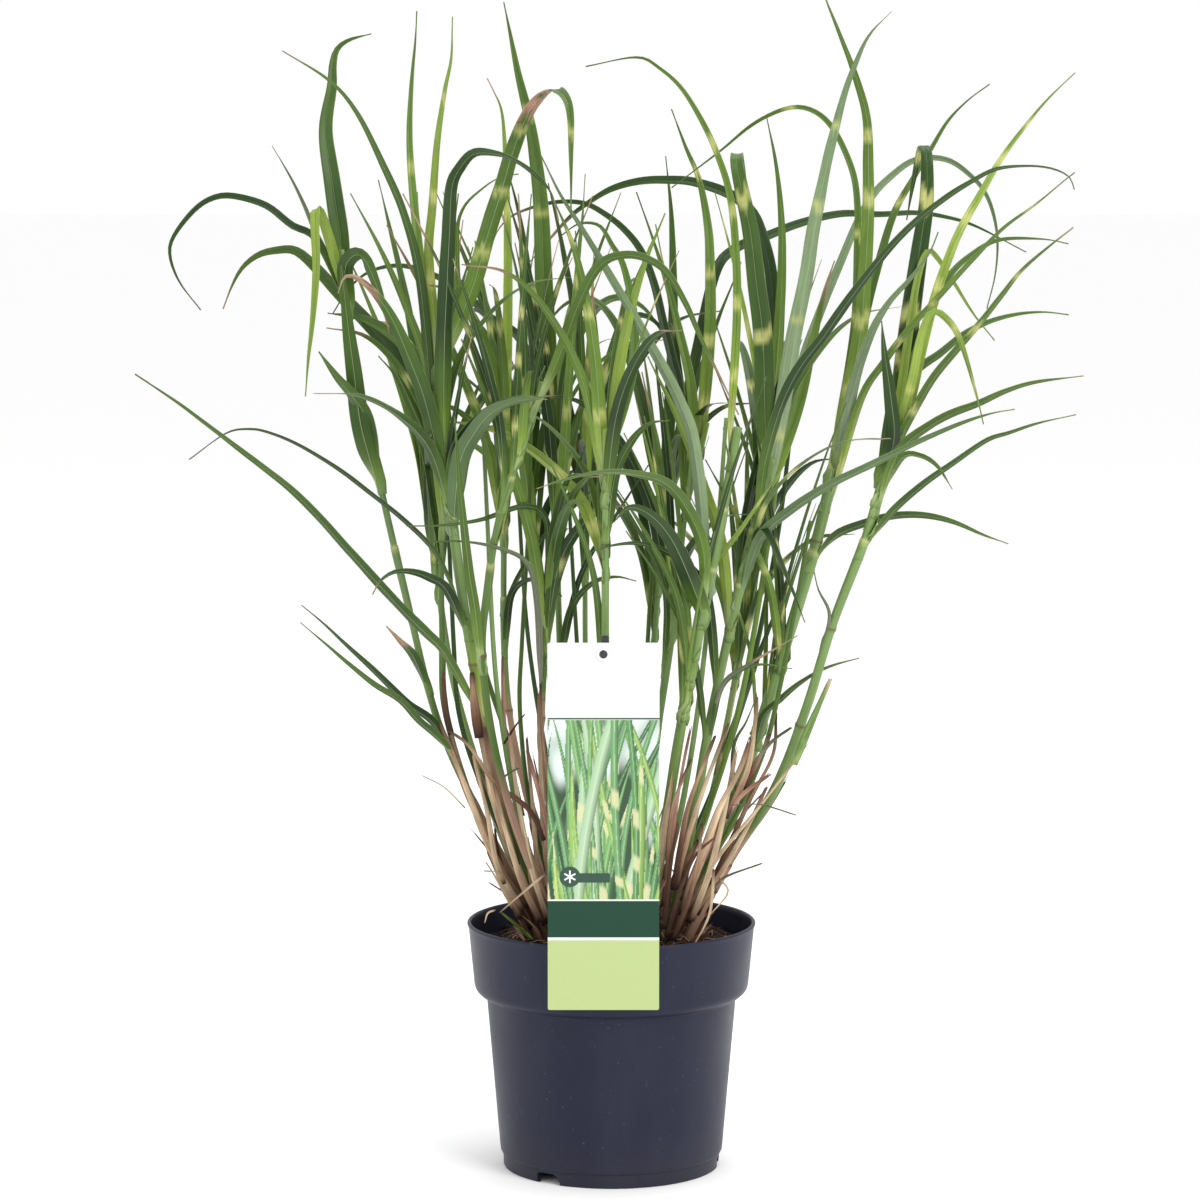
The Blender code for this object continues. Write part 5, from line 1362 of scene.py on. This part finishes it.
def build_stake(front):
    """The stake behind the card, and the domed peg that comes through the card's hole."""
    wide, thick, long = STAKE_SIZE
    bm = bmesh.new()
    bmesh.ops.create_cube(bm, size=1.0)
    bmesh.ops.scale(bm, vec=(wide, thick, long), verts=bm.verts)
    bmesh.ops.translate(bm, vec=(0.0, 0.0, -long / 2), verts=bm.verts)
    bmesh.ops.bevel(bm, geom=list(bm.edges), offset=0.0005, segments=2, affect="EDGES")
    lean = Matrix.Translation(STAKE_TOP) @ Matrix.Rotation(STAKE_LEAN, 4, "X")
    bmesh.ops.transform(bm, matrix=lean, verts=bm.verts)
    peg = bmesh.new()
    loops = [
        [peg.verts.new((x, front + depth, z)) for x, z in ring(*PEG_MIDDLE, radius, 32)]
        for radius, depth in ((0.0001, -0.0016), (0.0010, -0.00155), (0.0018, -0.0013), (0.00225, -0.0008),
                              (PEG_RADIUS, 0.0), (PEG_RADIUS, 0.0024))]
    for outer, inner in zip(loops, loops[1:]):
        for k in range(32):
            ahead = (k + 1) % 32
            peg.faces.new((outer[k], inner[k], inner[ahead], outer[ahead]))
    peg.faces.new(loops[0])
    peg.faces.new(loops[-1][::-1])
    bmesh.ops.recalc_face_normals(peg, faces=peg.faces)
    absorb(bm, peg)
    mesh = meshed("stake_and_peg", bm)
    mesh.shade_smooth()
    mesh.set_sharp_from_angle(angle=math.radians(50))
    place(solid("stake_and_peg", mesh, "stake"), "stake", "label_stake")


# ---------------------------------------------------------------- assembly

def culm_line(name):
    """A culm's middle line, rooted a little below the compost's top and drawn out a little past its end."""
    _, foot, points = CULMS[name]
    last, before = Vector(points[-1]), Vector(points[-2])
    spear = last + (last - before).normalized() * SPEAR
    return [(*foot, SOIL_TOP - ROOT_DEPTH), (*foot, SOIL_TOP + 0.004), *points, spear]


def build_culms():
    for number, (name, (radius, _, _)) in enumerate(CULMS.items(), 1):
        coats, collars, nodes = CULM_LOOKS.get(number, CULM_PLAIN)
        made = stem(f"stem_{number:02d}", culm_line(name), radius, coats, metres(collars), metres(nodes))
        place(made, "culm", name)


def sheathed(path, points, radius):
    """A blade's spine that starts down its sheath, on the side of the culm that the blade leaves."""
    heading = Vector(points[-1]) - Vector(points[0])
    heading.z = 0.0
    away = heading.normalized() * (radius + 0.0003)
    nearest = min(range(301), key=lambda k: (path.at(path.length * k / 300) - Vector(points[0])).length)
    where = path.length * nearest / 300
    return [*(path.at(where - start) + away for start in SHEATH_STARTS), *points[1:]]


def distance_to(path, spot):
    return min((path.at(path.length * k / 60) - spot).length for k in range(61))


def build_blades():
    """The blades of the tables: the large ones on their own culms, the slighter ones on the nearest."""
    paths = {name: Path(culm_line(name)) for name in CULMS}
    for name, (culm, width, turn, twist, look, points) in numbered("leaf", BLADE_TABLE).items():
        culm = f"culm_{culm:02d}"
        radius = CULMS[culm][0] * 0.85
        spine = sheathed(paths[culm], metres(points), radius)
        look = {"show": FACING, **look}
        made = blade(f"blade_{name[-2:]}", spine, metres(width), turn, twist, clasp=radius, **look)
        place(made, "leaf", name)
    for name, (radius, width, turn, twist, look, points) in numbered("slim", SLIGHT_TABLE).items():
        radius, points = metres(radius), metres(points)
        path = min(paths.values(), key=lambda path: distance_to(path, Vector(points[0])))
        look = {"show": FACING, **look}
        made = blade(name, sheathed(path, points, radius), metres(width), turn, twist, clasp=radius, **look)
        place(made, "leaf")


def build_fill():
    """More blades round the clump: each leaves a culm, rises and arches over."""
    dice = random.Random(FILL_SEED)
    names = [name for name in CULMS if name not in OUTER_CULMS]
    for number in range(FILL_BLADES):
        culm = names[number % len(names)]
        path = Path(culm_line(culm))
        on_right = CULMS[culm][2][-1][0] > 0.0
        low = on_right and number % 3 == 0
        least = 0.60 if on_right else 0.76
        along = dice.uniform(0.44, 0.62) if low else dice.uniform(least, 0.97)
        radius = CULMS[culm][0] * (1.0 - 0.28 * along)
        start = path.at(path.length * along)
        straight = low or dice.random() < 0.5
        sideways = dice.uniform(-1.0, 1.0)
        heading = Vector((sideways, dice.choice((-1.0, 1.0)) * dice.uniform(0.25, 1.0), 0.0)).normalized()
        rise = dice.uniform(0.80, 0.97) if straight else dice.uniform(0.55, 0.90)
        droop = 0.06 if straight else 0.42
        long = min(dice.uniform(0.12, 0.27), (FILL_TOP - start.z) / (rise * (0.94 if straight else 0.58)))
        reach = long * ((1.15 - 0.95 * rise) if straight else (1.05 - 0.75 * rise))
        bound = 0.05 + 0.24 * (start.z + 0.5 * long)
        for way, side, most in ((heading.x, start.x, bound), (heading.y, start.y, FILL_DEPTH)):
            if way * side > 0.0:
                reach = min(reach, max(0.015, most - abs(side)) / abs(way))
        points = [start]
        for share in (0.25, 0.5, 0.75, 1.0):
            up = long * rise * (share - droop * share**2.6)
            points.append(start + heading * reach * share**1.4 + Vector((0.0, 0.0, up)))
        look = {
            "tone": dice.choice(("dark", "dark", "deep", "deep", "green", "green", "fresh", "fresh", "lime")),
            "dry": dice.choice((0.0, 0.0, 0.0, 0.06, 0.15)), "bands": dice.choice((0.0, 0.0, 0.25, 0.5)),
            "show": dice.choice((0.0, 0.4, 0.7)),
        }
        wide = dice.uniform(0.0040, 0.0085) if straight else dice.uniform(0.0055, 0.0110)
        if low:
            wide *= 0.6
        place(blade(f"fill_{number + 1:02d}", sheathed(path, points, radius), wide, dice.uniform(-50, 50),
                    dice.uniform(-35, 35), clasp=radius, **look), "leaf")


def build_thin_culms():
    for name, (radius, tone, points) in numbered("thin_culm", metres(THIN_TABLE)).items():
        coats = ((0.0, "umber"), (0.09, "brown"), (0.16, tone), (1.0, tone))
        place(stem(name, points, radius, coats, taper=0.6, sides=12), "culm")


def dry_strip(name, line, width, tone, **look):
    return blade(name, line, width, tone=tone, finish="dry", columns=STRIP_COLUMNS, **look)


def build_dry_sheaths():
    """Old sheaths that wrap the culms above the crown, the torn ones round them, and the crown's stubble."""
    dice = random.Random(3)
    wraps = []
    for name, (radius, _, _) in CULMS.items():
        path = Path(culm_line(name))
        for number in range(4):
            away = Vector((*polar(1.0, dice.uniform(0.0, math.tau)), 0.0))
            long = dice.choice((0.022, 0.035, 0.050, 0.075, 0.100))
            first = dice.uniform(0.0, 0.045)
            gap = radius + dice.uniform(0.0004, 0.0016)
            spread = dice.choice((0.0, 0.0, 0.003, 0.008, 0.014))
            line = [path.at(first + long * share) + away * (gap + spread * share**3)
                    for share in (0.0, 0.2, 0.4, 0.6, 0.8, 1.0)]
            wraps.append(dry_strip(
                f"sheath_{name[-2:]}_{number}", line, radius * dice.uniform(1.4, 2.8), dice.choice(DRY_TONES),
                curl=gap, base=1.0, ragged=0.18, face=away, tip=0.4))
    place(joined("dry_sheaths", wraps), "culm")

    strips = []
    for name, (width, tone, near, points) in numbered("old", metres(OLD_TABLE)).items():
        last = len(points) - 1
        line = [(x, near[0] + (near[1] - near[0]) * k / last, z) for k, (x, z) in enumerate(points)]
        strips.append(dry_strip(
            name, line, width, tone, curl=max(0.0016, width * 0.55), base=0.8, ragged=0.10,
            face=Vector((0.0, -1.0, 0.0)), tip=0.55, twist=dice.uniform(-30, 30)))
    place(joined("old_sheaths", strips), "culm")

    stubble = []
    for number in range(STUBBLE):
        spot = Vector((dice.gauss(0.0, 0.030), dice.gauss(0.002, 0.020), 0.0))
        if spot.length > STUBBLE_REACH:
            spot *= STUBBLE_REACH / spot.length
        lean = Vector((spot.x * 0.6 + dice.gauss(0.0, 0.007), spot.y * 0.5 + dice.gauss(0.0, 0.007), 0.0))
        lean /= 0.050
        long = dice.uniform(0.010, 0.050) * (1.0 - 0.6 * spot.length / STUBBLE_REACH)
        foot = Vector((spot.x, spot.y, SOIL_TOP - 0.004))
        line = [foot + (lean * share**1.3 + UP) * long * share
                for share in (0.0, 0.3, 0.65, 1.0)]
        stubble.append(dry_strip(
            f"stubble_{number}", line, dice.uniform(0.0018, 0.0044), dice.choice(STUBBLE_TONES), curl=0.0026,
            base=1.0, ragged=0.3, face=Vector((dice.gauss(0.0, 0.8), -1.0, 0.0)), tip=0.35))
    place(joined("crown_stubble", stubble), "culm")


def build_stage():
    """A pale floor, soft lights and a long lens from slightly above."""
    bpy.ops.mesh.primitive_plane_add(size=120.0, location=(0.0, 0.0, 0.0))
    floor = bpy.context.object
    floor.name = "floor"
    finish, _, shader = blank("floor", 0.9, 0.1)
    shader.inputs["Base Color"].default_value = (0.98, 0.98, 0.98, 1.0)
    floor.data.materials.append(finish)

    world = bpy.data.worlds.new("studio")
    world.use_nodes = True
    world.node_tree.nodes["Background"].inputs["Color"].default_value = (1.0, 1.0, 1.0, 1.0)
    world.node_tree.nodes["Background"].inputs["Strength"].default_value = 1.0
    bpy.context.scene.world = world
    for name, where, aim, size, power, tint in (
        ("key", (1.5, -2.0, 2.2), 0.40, 1.2, 46.0, (1.0, 0.98, 0.95)),
        ("fill", (-1.9, -1.6, 1.2), 0.35, 1.4, 6.0, (0.96, 0.98, 1.0)),
        ("top", (0.2, 0.4, 2.6), 0.40, 1.6, 22.0, (1.0, 1.0, 1.0)),
    ):
        light = bpy.data.lights.new(name, "AREA")
        light.size = size
        light.energy = power
        light.color = tint
        lamp = bpy.data.objects.new(name, light)
        lamp.location = where
        lamp.rotation_euler = (Vector((0.0, 0.0, aim)) - Vector(where)).to_track_quat("-Z", "Y").to_euler()
        bpy.context.collection.objects.link(lamp)

    lens = bpy.data.cameras.new("camera")
    lens.lens = LENS
    lens.sensor_width = 36.0
    camera = bpy.data.objects.new("camera", lens)
    camera.location = CAMERA_PLACE
    camera.rotation_euler = (math.radians(90.0) - CAMERA_TILT, 0.0, 0.0)
    bpy.context.collection.objects.link(camera)
    bpy.context.scene.camera = camera
    bpy.context.scene.view_settings.view_transform = "Standard"


build_pot()
build_soil()
build_crumbs()
build_fibres()
build_label()
build_culms()
build_blades()
build_fill()
build_thin_culms()
build_dry_sheaths()
build_stage()

bpy.context.view_layer.update()
